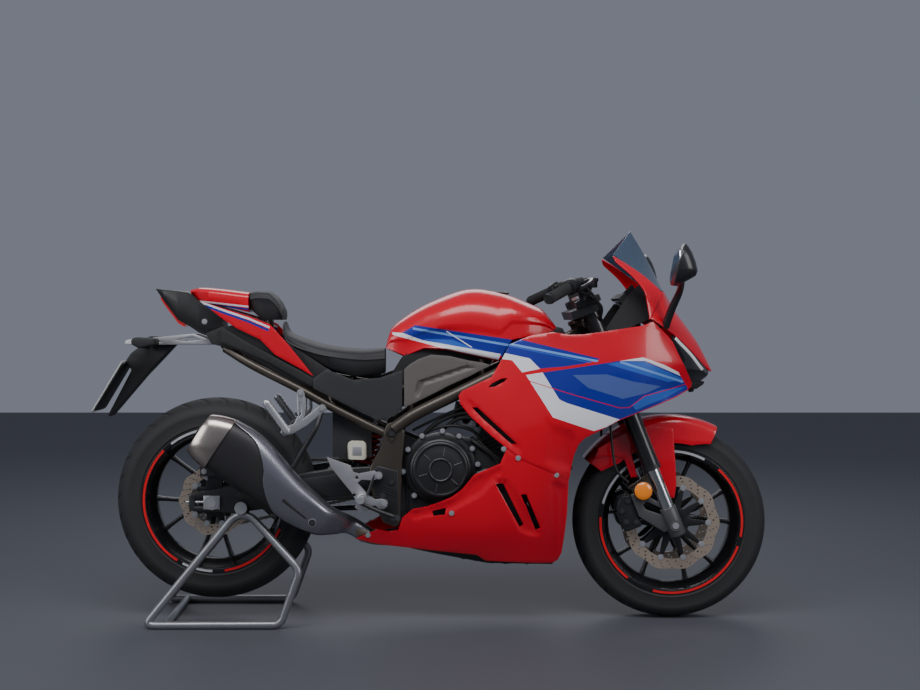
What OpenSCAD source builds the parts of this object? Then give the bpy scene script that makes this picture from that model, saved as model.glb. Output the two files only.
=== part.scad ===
// Sport motorcycle on a rear paddock stand. Millimetres, X forward, Y to the rider's left, Z up.
// The floor is Z = 0: the front tyre and the stand's base tubes rest on it.

/* [Wheels] */
// Distance between the wheel axles
wheelbase = 1410; // [1390:1:1450]
// Outer radius of the front tyre
front_tyre_r = 300; // [290:1:306]
// Width of the front tyre
front_tyre_w = 120; // [100:1:126]
// Outer radius of the rear tyre
rear_tyre_r = 312; // [300:1:318]
// Width of the rear tyre
rear_tyre_w = 160; // [140:1:168]
// Bead seat radius of both rims
rim_r = 216; // [205:1:220]
// Height of the rear tyre above the floor while it is on the stand
rear_lift = 59; // [40:1:80]
// Radius of both wheel axles
axle_r = 10; // [8:0.5:12]

/* [Steering] */
// Lean of the steering axis from upright, in degrees
rake = 21.5; // [20:0.1:23]
// Distance between the fork legs' centre lines
fork_spacing = 206; // [200:1:216]
// Radius of the upper fork tubes
fork_tube_r = 27; // [24:0.5:29]
// Radius of the chromed fork sliders
slider_r = 20.5; // [17:0.5:22]
// Distance of the fork legs ahead of the steering axis
clamp_offset = 35; // [30:1:38]

/* [Body] */
// Half width of the fuel tank
tank_half_w = 146; // [122:1:150]
// Wall of the fairing panels
skin = 4; // [3:0.5:6]

/* [Frame] */
// Radius of the main spar tubes
spar_r = 19; // [16:0.5:22]
// Radius of the subframe tubes
rail_r = 13; // [10:0.5:15]

/* [Stand] */
// Radius of the paddock stand's tube
stand_tube_r = 12; // [10:0.5:16]
// Distance between the stand's base tubes
stand_w = 390; // [360:1:480]

/* [Hidden] */
$fn = 48;

front_x = 740;                              // front axle
rear_x = front_x - wheelbase;               // rear axle
rear_z = rear_tyre_r + rear_lift;
rear = [rear_x, 0, rear_z];
fit = 0.3;                                  // gap of seated pieces
running = 0.05;                             // radial clearance on axles and pins
fork_y = fork_spacing / 2;
up = [-sin(rake), 0, cos(rake)];            // along the steering axis, upwards
ahead = [cos(rake), 0, sin(rake)];          // square to it, forwards
steer_0 = [front_x, 0, front_tyre_r] - ahead * clamp_offset;
stem_r = 15;                                // steering stem
fork_top = 744;                             // tops of the fork tubes
caliper_x = -56;                            // front face of the calipers, from the steering axis
head_low = 545;                             // steering head's ends, up the steering axis
head_high = 690;
pivot = [-122, 0, 438];                     // swingarm pivot
bobbin_x = rear_x + 90;                     // stand spools on the swingarm
bobbin_z = rear_z - 14;
plate_in = 140;                             // pivot plates' inner faces
plate_out = 158;
arm_in = rear_tyre_w / 2 + 28;              // swingarm arms' inner faces
arm_out = arm_in + 22;
chain_y = arm_in - 12;                      // middle of the chain
sprocket_r = 106;                           // pitch radius of the rear sprocket
drive = [-18, 0, 442];                      // front sprocket
drive_r = 36;
mount_low = [-118, 326];                    // engine mounts in the pivot plates, [x, z]
mount_high = [-112, 566];
shock_top = [-164, 640];
shock_low = [-232, 432];
cowl_boss = [264, 366];                     // upper fixing of the lower cowls
stay_x = 682;                               // front face of the fairing stay's cross plate
stand_pivot = [-118, 180, 318];             // side stand
stand_splay = 21;
holder_z = 849;                             // underside of the plate bracket
indicator = [-886, 846];                    // rear indicators' stalk, [x, z]
crank_half = 116;                           // half width of the crankcase
cover_y = 178;                              // outer face of the clutch cover
bracket_y = 150;                            // outer faces of the fairing's brackets
lower_bracket = 126;                        // outer faces of the lower cowls' brackets

// ---- helpers ----

function flatten(l) = [for (a = l) for (b = a) b];
function unit(v) = v / norm(v);
function clampi(i, n) = min(max(i, 0), n - 1);
function mix(a, b, t) = a + (b - a) * t;

// A bar from a to b
module bar(a, b, r, r2) {
    v = b - a;
    l = norm(v);
    translate(a)
        rotate([0, acos(v[2] / l), atan2(v[1], v[0])])
            cylinder(h = l, r1 = r, r2 = r2 == undef ? r : r2);
}

// A cylinder along Y
module pin(x, z, r, y0, y1) {
    translate([x, y0, z]) rotate([-90, 0, 0]) cylinder(h = y1 - y0, r = r);
}

// A flat plate of an outline in X and Z, from y0 to y1
module plate(pts, y0, y1) {
    translate([0, y1, 0]) rotate([90, 0, 0]) linear_extrude(y1 - y0) polygon(pts);
}

module both() {
    children();
    mirror([0, 1, 0]) children();
}

// What turns with the steering is drawn upright in its own frame, with Z along the steering axis
module steer_frame() {
    translate(steer_0) rotate([0, -rake, 0]) children();
}

// A whole ring from a half outline of [y, z] that runs from top to bottom
function ring(x, half) = concat(
    [for (p = half) [x, p[0], p[1]]],
    [for (i = [len(half) - 1 : -1 : 0]) if (half[i][0] > 0.01) [x, -half[i][0], half[i][1]]]);

// A closed body through rings of equal count, with its ends capped
module loft(rings) {
    n = len(rings[0]);
    m = len(rings);
    sides = flatten([for (i = [0 : m - 2]) flatten([for (j = [0 : n - 1]) let (k = (j + 1) % n)
        [[i * n + j, (i + 1) * n + k, (i + 1) * n + j], [i * n + j, i * n + k, (i + 1) * n + k]]])]);
    first = [for (j = [1 : n - 2]) [0, j + 1, j]];
    last = [for (j = [1 : n - 2]) [(m - 1) * n, (m - 1) * n + j, (m - 1) * n + j + 1]];
    polyhedron(flatten(rings), concat(sides, first, last), convexity = 6);
}

// A path through points with its corners rounded to radius b
function turn(p, q, t) = 180 - acos(unit(p - q) * unit(t - q));
function arc_at(p, q, t, b) = let (u = unit(p - q), v = unit(t - q), a = turn(p, q, t),
    c = q + unit(u + v) * b / cos(a / 2), x = unit(q + u * b * tan(a / 2) - c))
    [for (k = [0 : 4]) c + b * (x * cos(a * k / 4) - u * sin(a * k / 4))];
function rounded(pts, b) = let (n = len(pts)) concat([pts[0]],
    flatten([for (i = [1 : 1 : n - 2]) arc_at(pts[i - 1], pts[i], pts[i + 1], b)]), [pts[n - 1]]);
function rounded_loop(pts, b) = let (n = len(pts))
    flatten([for (i = [0 : n - 1]) arc_at(pts[(i + n - 1) % n], pts[i], pts[(i + 1) % n], b)]);

// A ring of radius r around a path's point, square to the path; the path never runs along Y
function path_ring(p, dir, r, sides) = let (t = unit(dir), y = unit([0, 1, 0] - t[1] * t), z = cross(y, -t))
    [for (k = [0 : sides - 1]) p + r * (z * cos(360 * k / sides) + y * sin(360 * k / sides))];

// A bent tube of radius r, and one that closes on itself
module bent(pts, r, b, sides = 12) {
    w = rounded(pts, b);
    loft([for (i = [0 : len(w) - 1])
        path_ring(w[i], w[clampi(i + 1, len(w))] - w[clampi(i - 1, len(w))], r, sides)]);
}
module bent_loop(pts, r, b, sides = 12) {
    w = rounded_loop(pts, b);
    m = len(w);
    polyhedron(flatten([for (i = [0 : m - 1]) path_ring(w[i], w[(i + 1) % m] - w[(i + m - 1) % m], r, sides)]),
        flatten([for (i = [0 : m - 1]) flatten([for (j = [0 : sides - 1])
            let (k = (j + 1) % sides, a = i * sides, c = (i + 1) % m * sides)
            [[a + j, c + k, c + j], [a + j, a + k, c + k]]])]), convexity = 8);
}

// Inward normal of a grid of points
function grid_normal(g, i, j) = let (m = len(g), n = len(g[0]))
    unit(cross(g[clampi(i + 1, m)][j] - g[clampi(i - 1, m)][j],
        g[i][clampi(j + 1, n)] - g[i][clampi(j - 1, n)]));

// A wall of thickness t behind a grid of outer points
module wall(g, t) {
    m = len(g);
    n = len(g[0]);
    s = m * n;
    inner = [for (i = [0 : m - 1]) [for (j = [0 : n - 1]) g[i][j] + t * grid_normal(g, i, j)]];
    skins = flatten([for (i = [0 : m - 2]) flatten([for (j = [0 : n - 2])
        let (a = i * n + j, b = a + 1, c = a + n, d = c + 1)
        [[a, c, d], [a, d, b], [s + a, s + d, s + c], [s + a, s + b, s + d]]])]);
    long = flatten([for (i = [0 : m - 2]) let (a = i * n, c = a + n, b = a + n - 1, d = c + n - 1)
        [[a, s + c, c], [a, s + a, s + c], [b, d, s + d], [b, s + d, s + b]]]);
    short = flatten([for (j = [0 : n - 2]) let (a = j, b = j + 1, c = (m - 1) * n + j, d = c + 1)
        [[a, b, s + b], [a, s + b, s + a], [c, s + d, d], [c, s + c, s + d]]]);
    polyhedron(flatten(concat(g, inner)), concat(skins, long, short), convexity = 10);
}

// ---- wheels ----

module tyre(r, w) {
    bead = w / 2 - 12;
    crown = r - (w / 2) * 0.62;
    outer = [for (a = [0 : 12 : 180]) [crown + (r - crown) * sin(a), w / 2 * cos(a)]];
    inner = [for (a = [180 : -12 : 0]) [crown + (r - crown - 11) * sin(a), (w / 2 - 9) * cos(a)]];
    rotate([90, 0, 0]) rotate_extrude() polygon(concat(
        [[rim_r + fit, bead - 13], [rim_r + fit, bead], [rim_r + 16, bead + 4]], outer,
        [[rim_r + 16, -bead - 4], [rim_r + fit, -bead], [rim_r + fit, 13 - bead]], inner));
}

// Rim barrel with a flange either side of the tyre's beads
module barrel(w) {
    bead = w / 2 - 12;
    half = [[rim_r, bead + fit], [rim_r + 10, bead + 3], [rim_r + 10, bead + 7], [rim_r - 6, bead + 7],
        [rim_r - 26, 14], [rim_r - 26, 0]];
    rotate([90, 0, 0]) rotate_extrude() polygon(concat(half,
        [for (i = [len(half) - 2 : -1 : 0]) [half[i][0], -half[i][1]]],
        [[rim_r, 12 - bead], [rim_r - 18, 0], [rim_r, bead - 12]]));
}

// Five Y-shaped spokes, ten thin ends evenly spaced
module spokes(phase, hub_r, t) {
    fork_r = 84;
    out_r = rim_r - 20;
    for (i = [0 : 4], s = [-1, 1]) rotate([0, -(phase + 72 * i), 0])
        plate([[hub_r - 8, s * 3], [hub_r - 8, s * 17], [fork_r, s * 21],
            [out_r * cos(18) + 4, s * (out_r * sin(18) + 6)],
            [out_r * cos(18) + 4, s * (out_r * sin(18) - 7)],
            [fork_r + 12, s * 8], [fork_r - 8, s * 1.5]], -t / 2, t / 2);
}

module front_rim() {
    color("#1c1d20") translate([front_x, 0, front_tyre_r]) difference() {
        union() {
            barrel(front_tyre_w);
            spokes(13, 40, 26);
            pin(0, 0, 40, -40, 40);
            pin(0, 0, 46, -58, -36);
            pin(0, 0, 46, 36, 58);
        }
        pin(0, 0, axle_r + running, -90, 90);
    }
}

module front_tyre() {
    color("#18181a") translate([front_x, 0, front_tyre_r]) tyre(front_tyre_r, front_tyre_w);
}

// A disc with a wavy rim, on five arms
module wave_disc(r, inner_r, arm_r, y0, y1) {
    waves = 10;
    translate([0, y1, 0]) rotate([90, 0, 0]) linear_extrude(y1 - y0) difference() {
        polygon([for (a = [0 : 4 : 356]) (r - 2.5 + 2.5 * cos(a * waves)) * [cos(a), sin(a)]]);
        for (i = [0 : 4]) polygon(concat(
            [for (a = [8 : 8 : 64]) inner_r * [cos(a + 72 * i), sin(a + 72 * i)]],
            [for (a = [58 : -11 : 14]) arm_r * [cos(a + 72 * i), sin(a + 72 * i)]]));
        circle(24);
    }
}

module front_discs() {
    color("#b9a98c") translate([front_x, 0, front_tyre_r]) both() wave_disc(148, 116, 46, -63, -58);
}

module rear_rim() {
    color("#1c1d20") translate(rear) difference() {
        union() {
            barrel(rear_tyre_w);
            spokes(-20, 46, 30);
            pin(0, 0, 46, -76, 50);
            pin(0, 0, 62, 48, chain_y - 3);
        }
        pin(0, 0, axle_r + running, -120, 120);
    }
}

module rear_tyre() {
    color("#18181a") translate(rear) tyre(rear_tyre_r, rear_tyre_w);
}

module rear_disc() {
    color("#b9a98c") translate(rear) wave_disc(110, 80, 46, -81, -76);
}

module rear_sprocket() {
    color("#6d6f73") translate(rear) difference() {
        pin(0, 0, sprocket_r - 8.5, chain_y - 3, chain_y + 3);
        pin(0, 0, 24, chain_y - 4, chain_y + 4);
        for (i = [0 : 4]) rotate([0, 72 * i, 0]) pin(78, 0, 11, chain_y - 4, chain_y + 4);
    }
}

// ---- frame, swingarm and drive ----

// A point up the steering axis, offset forwards
function on_stem(h, d = 0) = steer_0 + up * h + ahead * d;

spar = [[215, -140, 772], [76, -148, 703], [-60, -149, 638], [-118, -149, 596]];

module frame() {
    color("#8d8173") difference() {
        union() {
            steer_frame() translate([0, 0, head_low]) cylinder(h = head_high - head_low, r = 31);
            both() {
                bent(concat([on_stem(head_high - 40) + [0, -18, 0], [372, -110, 838]], spar), spar_r, 60);
                bent([on_stem(head_low + 26) + [0, -18, 0], [270, -132, 672], [80, -146, 700]], 15, 50);
                plate([[-124, 552], [-98, 560], [-100, 584], [-150, 656], [-178, 656], [-182, 634]],
                    -36, -24);
                plate([[-150, 572], [-138, 612], [-100, 612], [-84, 585], [-92, 500], [-96, 310],
                    [-110, 302], [-150, 314], [-172, 360], [-192, 440], [-190, 480], [-160, 530]],
                    -plate_out, -plate_in);
                pin(-118, 596, 19, -plate_out - 4, -plate_in + 12);
                pin(270, 672, 12, -bracket_y, -125);
                bar([270, -132, 672], [356, -122, 662], 8);
                pin(360, 660, 9, -132, -112);
                tank_post(150, [150, -143, 735]);
                bar([60, -146, 700], [60, -128, 748], 6);
                pin(60, 750, 7, -138, -122);
            }
            pin(pivot[0], pivot[2], axle_r, -plate_out - 6, plate_out + 6);
            pin(mount_low[0], mount_low[1], 12, -plate_in - 4, plate_in + 4);
            pin(mount_high[0], mount_high[1], 12, -plate_in - 4, plate_in + 4);
            pin(shock_top[0], shock_top[1], 7, -36, 36);
            fairing_stay();
            stand_axis() translate([0, 0, -28]) cylinder(h = 44, r = 7);
            stand_axis() translate([0, 0, -28]) cylinder(h = 18 - fit, r = 14);
        }
        steer_frame() translate([0, 0, head_low - 10]) cylinder(h = 200, r = stem_r + running);
    }
}

// A rubber-topped post that the fuel tank sits on
module tank_post(x, from) {
    bar(from, [x, -118, 780], 8);
    translate([x, -118, 776]) cylinder(h = min(lookup(x - 8, tank_low), lookup(x + 8, tank_low)) - fit - 776, r = 8);
}

// The side stand's pivot, its Z along the pin and outwards
module stand_axis() {
    translate(stand_pivot) rotate([-90 + stand_splay, 0, 0]) children();
}

// The stay that carries the nose: an arm ahead of the steering head, and cross bars
module fairing_stay() {
    bar(on_stem(head_low + 40, 26), [640, 0, 852], 13);
    pin(640, 852, 13, -120, 120);
    translate([660, -90, 806]) cube([stay_x - fit - 660, 180, 28]);
    bar([640, 0, 852], [672, 0, 822], 10);
    both() {
        bar([640, -90, 852], [700, -84, 908], 8);
        pin(702, 910, 8, -100, -78);
    }
}

module swingarm() {
    color("#1b1b1e") {
        difference() {
            union() {
                both() {
                    plate([[-92, 430], [-96, 470], [-130, 484], [-300, 474], [-560, 432],
                        [rear_x - 20, rear_z + 34], [rear_x - 72, rear_z + 26],
                        [rear_x - 72, rear_z - 26], [rear_x + 60, rear_z - 34], [-400, 366],
                        [-150, 392], [-100, 402]], -arm_out, -arm_in);
                    pin(pivot[0], pivot[2], 30, -plate_in + fit, -arm_in - 6);
                    pin(bobbin_x, bobbin_z, 12, -arm_out - 22, -arm_out + 4);
                    pin(bobbin_x, bobbin_z, 19, -arm_out - 28, -arm_out - 22);
                    plate([[-254, 404], [-250, 446], [-214, 446], [-212, 404]], -26, -19);
                }
                pin(pivot[0], pivot[2], 30, -arm_in - 1, arm_in + 1);
                translate([-332, -arm_in - 1, 404]) cube([44, 2 * arm_in + 2, 56]);
                translate([-300, -26, 404]) cube([88, 52, 12]);
                pin(shock_low[0], shock_low[1], 6, -27, 27);
            }
            pin(pivot[0], pivot[2], axle_r + running, -plate_in, plate_in);
            both() translate([rear_x - 52, -arm_out - 1, rear_z - 13]) cube([34, 30, 26]);
        }
    }
    color("#c9cbd0") {
        pin(rear_x, rear_z, axle_r, -arm_out - 12, arm_out + 12);
        pin(rear_x, rear_z, 17, -arm_in - 0.5, -92);
        pin(rear_x, rear_z, 17, chain_y - 1, arm_in + 0.5);
        both() {
            translate([rear_x - 26, -arm_out - 7, rear_z - 21]) cube([50, 7.5, 42]);
        }
    }
}

// The chain: two straight runs and an arc around each sprocket
module chain() {
    d = norm([rear_x - drive[0], rear_z - drive[2]]);
    slope = atan2(rear_z - drive[2], rear_x - drive[0]);
    lean = asin((sprocket_r - drive_r) / d);
    run = d * cos(lean);
    h = 14;
    w = 12;
    color("#8d8b86") translate([drive[0], chain_y, drive[2]]) rotate([0, -slope, 0]) {
        for (s = [-1, 1]) rotate([0, -s * lean, 0])
            translate([0, -w / 2, s * drive_r - h / 2]) cube([run, w, h]);
        rotate([90, 0, 0]) rotate([0, 0, 90 + lean])
            rotate_extrude(angle = 180 - 2 * lean) translate([drive_r - h / 2, -w / 2]) square([h, w]);
        translate([d, 0, 0]) rotate([90, 0, 0]) rotate([0, 0, -90 - lean])
            rotate_extrude(angle = 180 + 2 * lean)
                translate([sprocket_r - h / 2, -w / 2]) square([h, w]);
    }
}

module engine() {
    color("#2b2b2d") difference() {
        union() {
            plate([[-78, 350], [-60, 300], [40, 286], [230, 292], [288, 350], [292, 460], [240, 520],
                [60, 560], [-40, 556], [-84, 520], [-86, 470], [-70, 440]], -crank_half, 76);
            plate([[36, 350], [60, 288], [230, 292], [288, 350], [292, 460], [240, 520], [60, 560],
                [36, 540]], 75, crank_half);
            plate([[120, 515], [282, 440], [340, 600], [176, 668]], -104, 104);
            both() {
                pin(mount_low[0], mount_low[1], 17, -plate_in + fit, -92);
                pin(mount_high[0], mount_high[1], 17, -plate_in + fit, -70);
                pin(cowl_boss[0], cowl_boss[1], 13, -bracket_y, -crank_half + 1);
            }
            pin(40, 318, 11, -lower_bracket, lower_bracket);
            pin(-60, 504, 9, 70, 112);
            pin(0, 392, 9, 70, 112);
            for (y = [[-112, -92], [50, 76]]) {
                plate([[-132, 318], [-118, 308], [-60, 304], [-60, 344], [-118, 344]], y[0], y[1]);
                plate([[-128, 560], [-112, 550], [-60, 516], [-40, 556], [-112, 584]], y[0], y[1]);
            }
            pin(mount_low[0], mount_low[1], 17, 50, 94);
            pin(mount_high[0], mount_high[1], 17, 50, 94);
            pin(drive[0], drive[2], 14, 70, chain_y + 4);
            pin(drive[0], drive[2], drive_r - 7.6, chain_y - 4, chain_y + 4);
        }
        pin(mount_low[0], mount_low[1], 12 + running, -plate_in, plate_in);
        pin(mount_high[0], mount_high[1], 12 + running, -plate_in, plate_in);
    }
}

module engine_covers() {
    color("#3a3a3c") {
        difference() {
            union() {
                pin(24, 475, 108, -134, -crank_half);
                pin(24, 475, 94, -160, -130);
                pin(24, 475, 84, -170, -158);
            }
            pin(24, 475, 76, -171, -166);
        }
        pin(24, 475, 34, -cover_y, -165);
        pin(170, 396, 74, -140, -crank_half);
        pin(170, 430, 90, crank_half, 150);
        pin(170, 430, 76, 149, 168);
        plate([[-78, 400], [-74, 510], [-50, 522], [8, 516], [30, 490], [30, 400], [10, 376], [-20, 374]],
            112, 126);
    }
}

module radiator() {
    color("#202124") {
        translate([398, -150, 470]) rotate([0, -7, 0]) difference() {
            cube([26, 300, 230]);
            translate([18, 24, 14]) cube([20, 252, 202]);
        }
        both() {
            pin(392, 560, 8, -158, -146);
            pin(360, 660, 9, -148, -132 - fit);
            bar([360, -141, 660], [384, -141, 652], 7);
        }
    }
}

module exhaust_header() {
    out = unit([160, 0, -58]);              // square to the cylinder head's front face
    port = [322.6, -46, 552] + out * fit;
    color("#9c9288") {
        both() bent([port, port + out * 36, [357, -46, 330], [316, -46, 254], [180, -30, 248]], 20, 26);
        bar([192, 0, 248], [60, 0, 248], 40, 28);
        bent([[66, 0, 248], [-60, -46, 246], muffler_in - muffler_dir * 60, muffler_in], 23, 60);
    }
}

// ---- silencer ----

muffler_dir = unit([-430, 0, 287]);
muffler_in = [-246, -98, 294];

// The silencer lies along X of its own frame, with Z up and forwards
module muffler_frame() {
    translate([muffler_in[0], 0, muffler_in[2]])
        rotate([0, -atan2(muffler_dir[2], muffler_dir[0]), 0])
            rotate([180, 0, 0])
                children();
}

// Sections of the can: [x, height above the axis, depth below it, half width, offset outwards]
can_rows = [[0, 23, 23, 23, 98], [30, 24, 42, 30, 132], [80, 22, 70, 42, 172], [140, 30, 82, 48, 184],
    [210, 42, 87, 50, 186], [370, 84, 87, 50, 186], [470, 82, 84, 50, 186], [510, 70, 80, 46, 186],
    [542, 56, 70, 38, 186]];
function can_at(x, i) = lookup(x, [for (p = can_rows) [p[0], p[i]]]);
function can_ring(x, t, b, w, y) = [for (a = [0 : 20 : 340])
    [x, y + w * sin(a), (cos(a) > 0 ? t : b) * cos(a)]];
guard_xs = [10, 30, 80, 140, 210, 255, 300, 342, 388, 430, 470];
guard_low = [[10, -20], [90, -62], [210, -78], [255, -50], [342, 32], [388, 66], [470, 80]];

module muffler() {
    color("#26262a") muffler_frame() loft([for (p = can_rows) can_ring(p[0], p[1], p[2], p[3], p[4])]);
}

module muffler_guard() {
    color("#a8a6a6") muffler_frame()
        wall([for (x = guard_xs) let (t = can_at(x, 1) + 4, b = can_at(x, 2) + 4, w = can_at(x, 3) + 4,
            y = can_at(x, 4), low = lookup(x, guard_low), end = acos(low / (low > 0 ? t : b)))
            [for (k = [0 : 7]) let (a = mix(-20, end, k / 7)) [x, y + w * sin(a), (cos(a) > 0 ? t : b) * cos(a)]]],
            3.4);
}

// ---- tank, seats and tail ----

// Top line, widest height, half widths and underside of the tank, by X
tank_top = [[-142, 848], [-122, 900], [-81, 936], [-26, 970], [48, 1002], [94, 1018], [125, 1022],
    [163, 1020], [232, 1005], [301, 978], [345, 956], [384, 906]];
tank_low = [[-142, 838], [-84, 812], [-26, 836], [45, 834], [134, 816], [205, 800], [241, 862],
    [300, 874], [384, 880]];
tank_w = [[-142, 74], [-100, 92], [-26, 112], [60, tank_half_w - 8], [130, tank_half_w],
    [230, tank_half_w - 2], [300, 130], [384, 84]];

function tank_ring(x) = let (t = lookup(x, tank_top), b = lookup(x, tank_low), w = lookup(x, tank_w),
    m = mix(b, t, 0.42))
    ring(x, concat(
        [for (a = [0 : 15 : 90]) [w * pow(sin(a), 0.8), m + (t - m) * pow(max(cos(a), 0), 0.8)]],
        [[w - 2, mix(m, b, 0.5)], [w - 10, b], [w * 0.5, b], [0, b]]));

module fuel_tank() {
    color("red") loft([for (x = [-142, -130, -110, -81, -50, -26, 0, 48, 94, 125, 163, 205, 222, 241,
        270, 301, 330, 345, 366, 384]) tank_ring(x)]);
    color("#4a4a4c") {
        translate([210, 0, 1006]) cylinder(h = 14, r = 34);
    }
}

seat_top = [[-459, 921], [-440, 886], [-379, 862], [-320, 847], [-214, 835], [-146, 838]];
seat_low = [[-459, 866], [-420, 836], [-312, 776], [-241, 752], [-160, 758], [-146, 762]];
pad_low = 926;                              // underside of the pillion pad
seat_w = [[-459, 98], [-400, 122], [-312, 128], [-241, 112], [-180, 88], [-146, 76]];

function pad_ring(x, t, b, w) = ring(x, [[0, t], [w * 0.55, t - 1], [w * 0.86, t - 8], [w, t - 26],
    [w - 2, mix(t, b, 0.7)], [w - 14, b], [0, b]]);

module seats() {
    color("#1d1e20") {
        loft([for (x = [-459, -440, -400, -360, -312, -270, -241, -200, -170, -146])
            pad_ring(x, lookup(x, seat_top), lookup(x, seat_low), lookup(x, seat_w))]);
        loft([for (p = [[-562, 1012, 962, 78], [-540, 1016, 940, 84], [-520, 1015, pad_low, 88],
            [-500, 1012, pad_low, 88], [-476, 988, pad_low, 86], [-462, 960, pad_low, 82]])
            pad_ring(p[0], p[1], p[2], p[3])]);
    }
}

module seat_cowl() {
    color("red") loft([for (p = [[-752, 1022, 1014, 34], [-720, 1027, 984, 58], [-660, 1023, 972, 72],
        [-600, 1016, 958, 82], [-566, 1012, 950, 84]])
        ring(p[0], [[0, p[1]], [p[3] * 0.6, p[1] - 2], [p[3] * 0.9, p[1] - 8], [p[3], p[1] - 20 * p[3] / 84],
        [p[3] - 3, mix(p[1], p[2], 0.8)], [p[3] - 8, p[2]], [0, p[2]]])]);
}

// Half widths of the tail and side panels, by X
tail_w = [[-862, 42], [-780, 62], [-700, 82], [-560, 104], [-440, 122], [-320, 136], [-150, 134],
    [-60, 138], [120, 150]];

// A flat-sided panel of an outline: its outer face follows the tail's width
module tail_skin(xs, low, top, out, t = 4, rows = 3) {
    wall([for (x = xs) let (z0 = lookup(x, low), z1 = lookup(x, top))
        [for (k = [0 : rows]) [x, -lookup(x, tail_w) - out * sin(180 * k / rows) - out,
            mix(z0, z1, k / rows)]]], t);
}

module tail_fairing() {
    color("#1b1b1e") {
        loft([for (p = tail_core) ring(p[0], [[0, p[1]], [p[3] * 0.8, p[1] - 0.2], [p[3], mix(p[1], p[2], 0.3)],
            [p[3] * 0.9, mix(p[1], p[2], 0.7)], [p[3] * 0.7, p[2]], [0, p[2]]])]);
        both() {
            tail_skin([-640, -600, -560, -500, -440, -400, -370], [[-650, 856], [-577, 828],
                [-501, 796], [-400, 740], [-370, 724]], [[-650, 906], [-577, 862], [-520, 832],
                [-440, 790], [-400, 770], [-370, 750]], 0);
            pin(-560, 840, 7, -102, -94);
        }
    }
}

// Rows of the tail's closed end: [x, top, bottom, half width]
tail_core = [[-862, 1024, 1020, 20], [-835, 1021, 984, 40], [-790, 1018, 926, 52],
    [-752, 1013.4, 905, 60], [-720, 983.4, 884, 66], [-650, 969.4, 860, 72]];
function core_low(x) = lookup(x, [for (p = tail_core) [p[0], p[2]]]);

module tail_panels() {
    color("red") both() tail_skin([-716, -680, -640, -600, -560, -527, -500, -444, -395, -362],
        [[-716, 980], [-640, 928], [-600, 902], [-527, 868], [-480, 822], [-395, 776], [-362, 752]],
        [[-716, 986], [-640, 960], [-560, 936], [-497, 912], [-444, 856], [-395, 797], [-362, 757]], 1);
}

module tail_light() {
    color("#8c0a14") loft([for (p = [[-848, 15], [-835, 24], [-790, 32], [-770, 34]])
        let (z = core_low(p[0]) - fit)
        [[p[0], -p[1], z], [p[0], p[1], z], [p[0], p[1], z - 11], [p[0], -p[1], z - 11]]]);
}

module rear_fender() {
    color("#1b1b1e") {
        plate([[-893, 750], [-1008, 617], [-1014, 622], [-936, 770], [-958, 796], [-940, 822],
            [-906, holder_z - fit],
            [-800, holder_z - fit], [-849, 796]], -34, 34);
        plate_frame() translate([-3, -70, -82]) cube([5, 140, 164]);
        pin(indicator[0], indicator[1], 9, -60, 60);
    }
    color("#d9d9d9") plate_frame() difference() {
        translate([-5, -90, -92]) cube([2.5, 180, 184]);
    }
}

// The number plate's own frame
module plate_frame() {
    translate([-998, 0, 718]) rotate([0, 31, 0]) children();
}

module rear_indicators() {
    color("#1b1b1e") both() {
        plate([[-930, 848], [-930, 866], [-904, 874], [-842, 870], [-842, 848], [-890, 838]],
            -158, -76);
        pin(indicator[0], indicator[1], 9, -77, -60 - fit);
    }
}

module subframe() {
    color("#8d8173") {
        both() {
            bent([[-138, -120, 576], [-298, -122, 655], [-400, -116, 712], [-560, -92, 790],
                [-640, -60, 838]], rail_r, 60);
            bent(upper_rail, 11, 60);
            bar([-298, -122, 655], [-330, -96, 748], 9);
            bar([-70, -96, 716], [-66, -108, 640], 10);
            bar([-560, -80, 836], [-520, -64, pad_low - 20], 7);
            translate([-512, -64, 840]) cylinder(h = pad_low - fit - 840, r = 9);
            seat_post(-250);
            seat_post(-400);
            translate([-700, -30, 856]) cylinder(h = core_low(-693) - fit - 856 - 5, r = 9);
            bar([-200, -96, 728], [-200, -110, 700], 7);
            pin(-200, 700, 8, -118, -104);
            bar([-500, -86, 818], [-500, -90, 866], 6);
            pin(-500, 866, 7, -94, -82);
            pin(-142, 570, 7, -plate_in + fit, -118);
            pin(-560, 840, 8, -93.7, -76);
            for (p = pillion_bolts) pin(p[0], p[1], 10, -136, -116);
        }
        for (p = [[-70, 716], [-330, 748]]) pin(p[0], p[1], 9, -96, 96);
        pin(-560, 838, 9, -80, 80);
        translate([-730, -56, 842]) cube([90, 112, core_low(-650) - fit - 842]);
    }
    color("#c9cbd0") {
        both() difference() {
            plate([[-866, 871], [-739, 883], [-700, 866], [-645, 849], [-819, 849]], -54, -48);
            plate([[-800, 866], [-742, 874], [-716, 862], [-770, 858]], -55, -47);
        }
        translate([-872, -54, holder_z]) cube([150, 108, 6]);
    }
}

upper_rail = [[-70, -96, 716], [-200, -96, 724], [-330, -96, 748], [-560, -80, 838], [-650, -50, 848]];
pillion_bolts = [[-400, 706], [-334, 662]];

// A pad on the subframe under the rider's seat
module seat_post(x) {
    translate([x, -70, 728]) cylinder(h = min(lookup(x - 9, seat_low), lookup(x + 9, seat_low)) - fit - 728, r = 9);
    pin(x, lookup(x, [[-400, 775], [-250, 733]]), 8, -96, -62);
}

// ---- fairing ----

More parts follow.
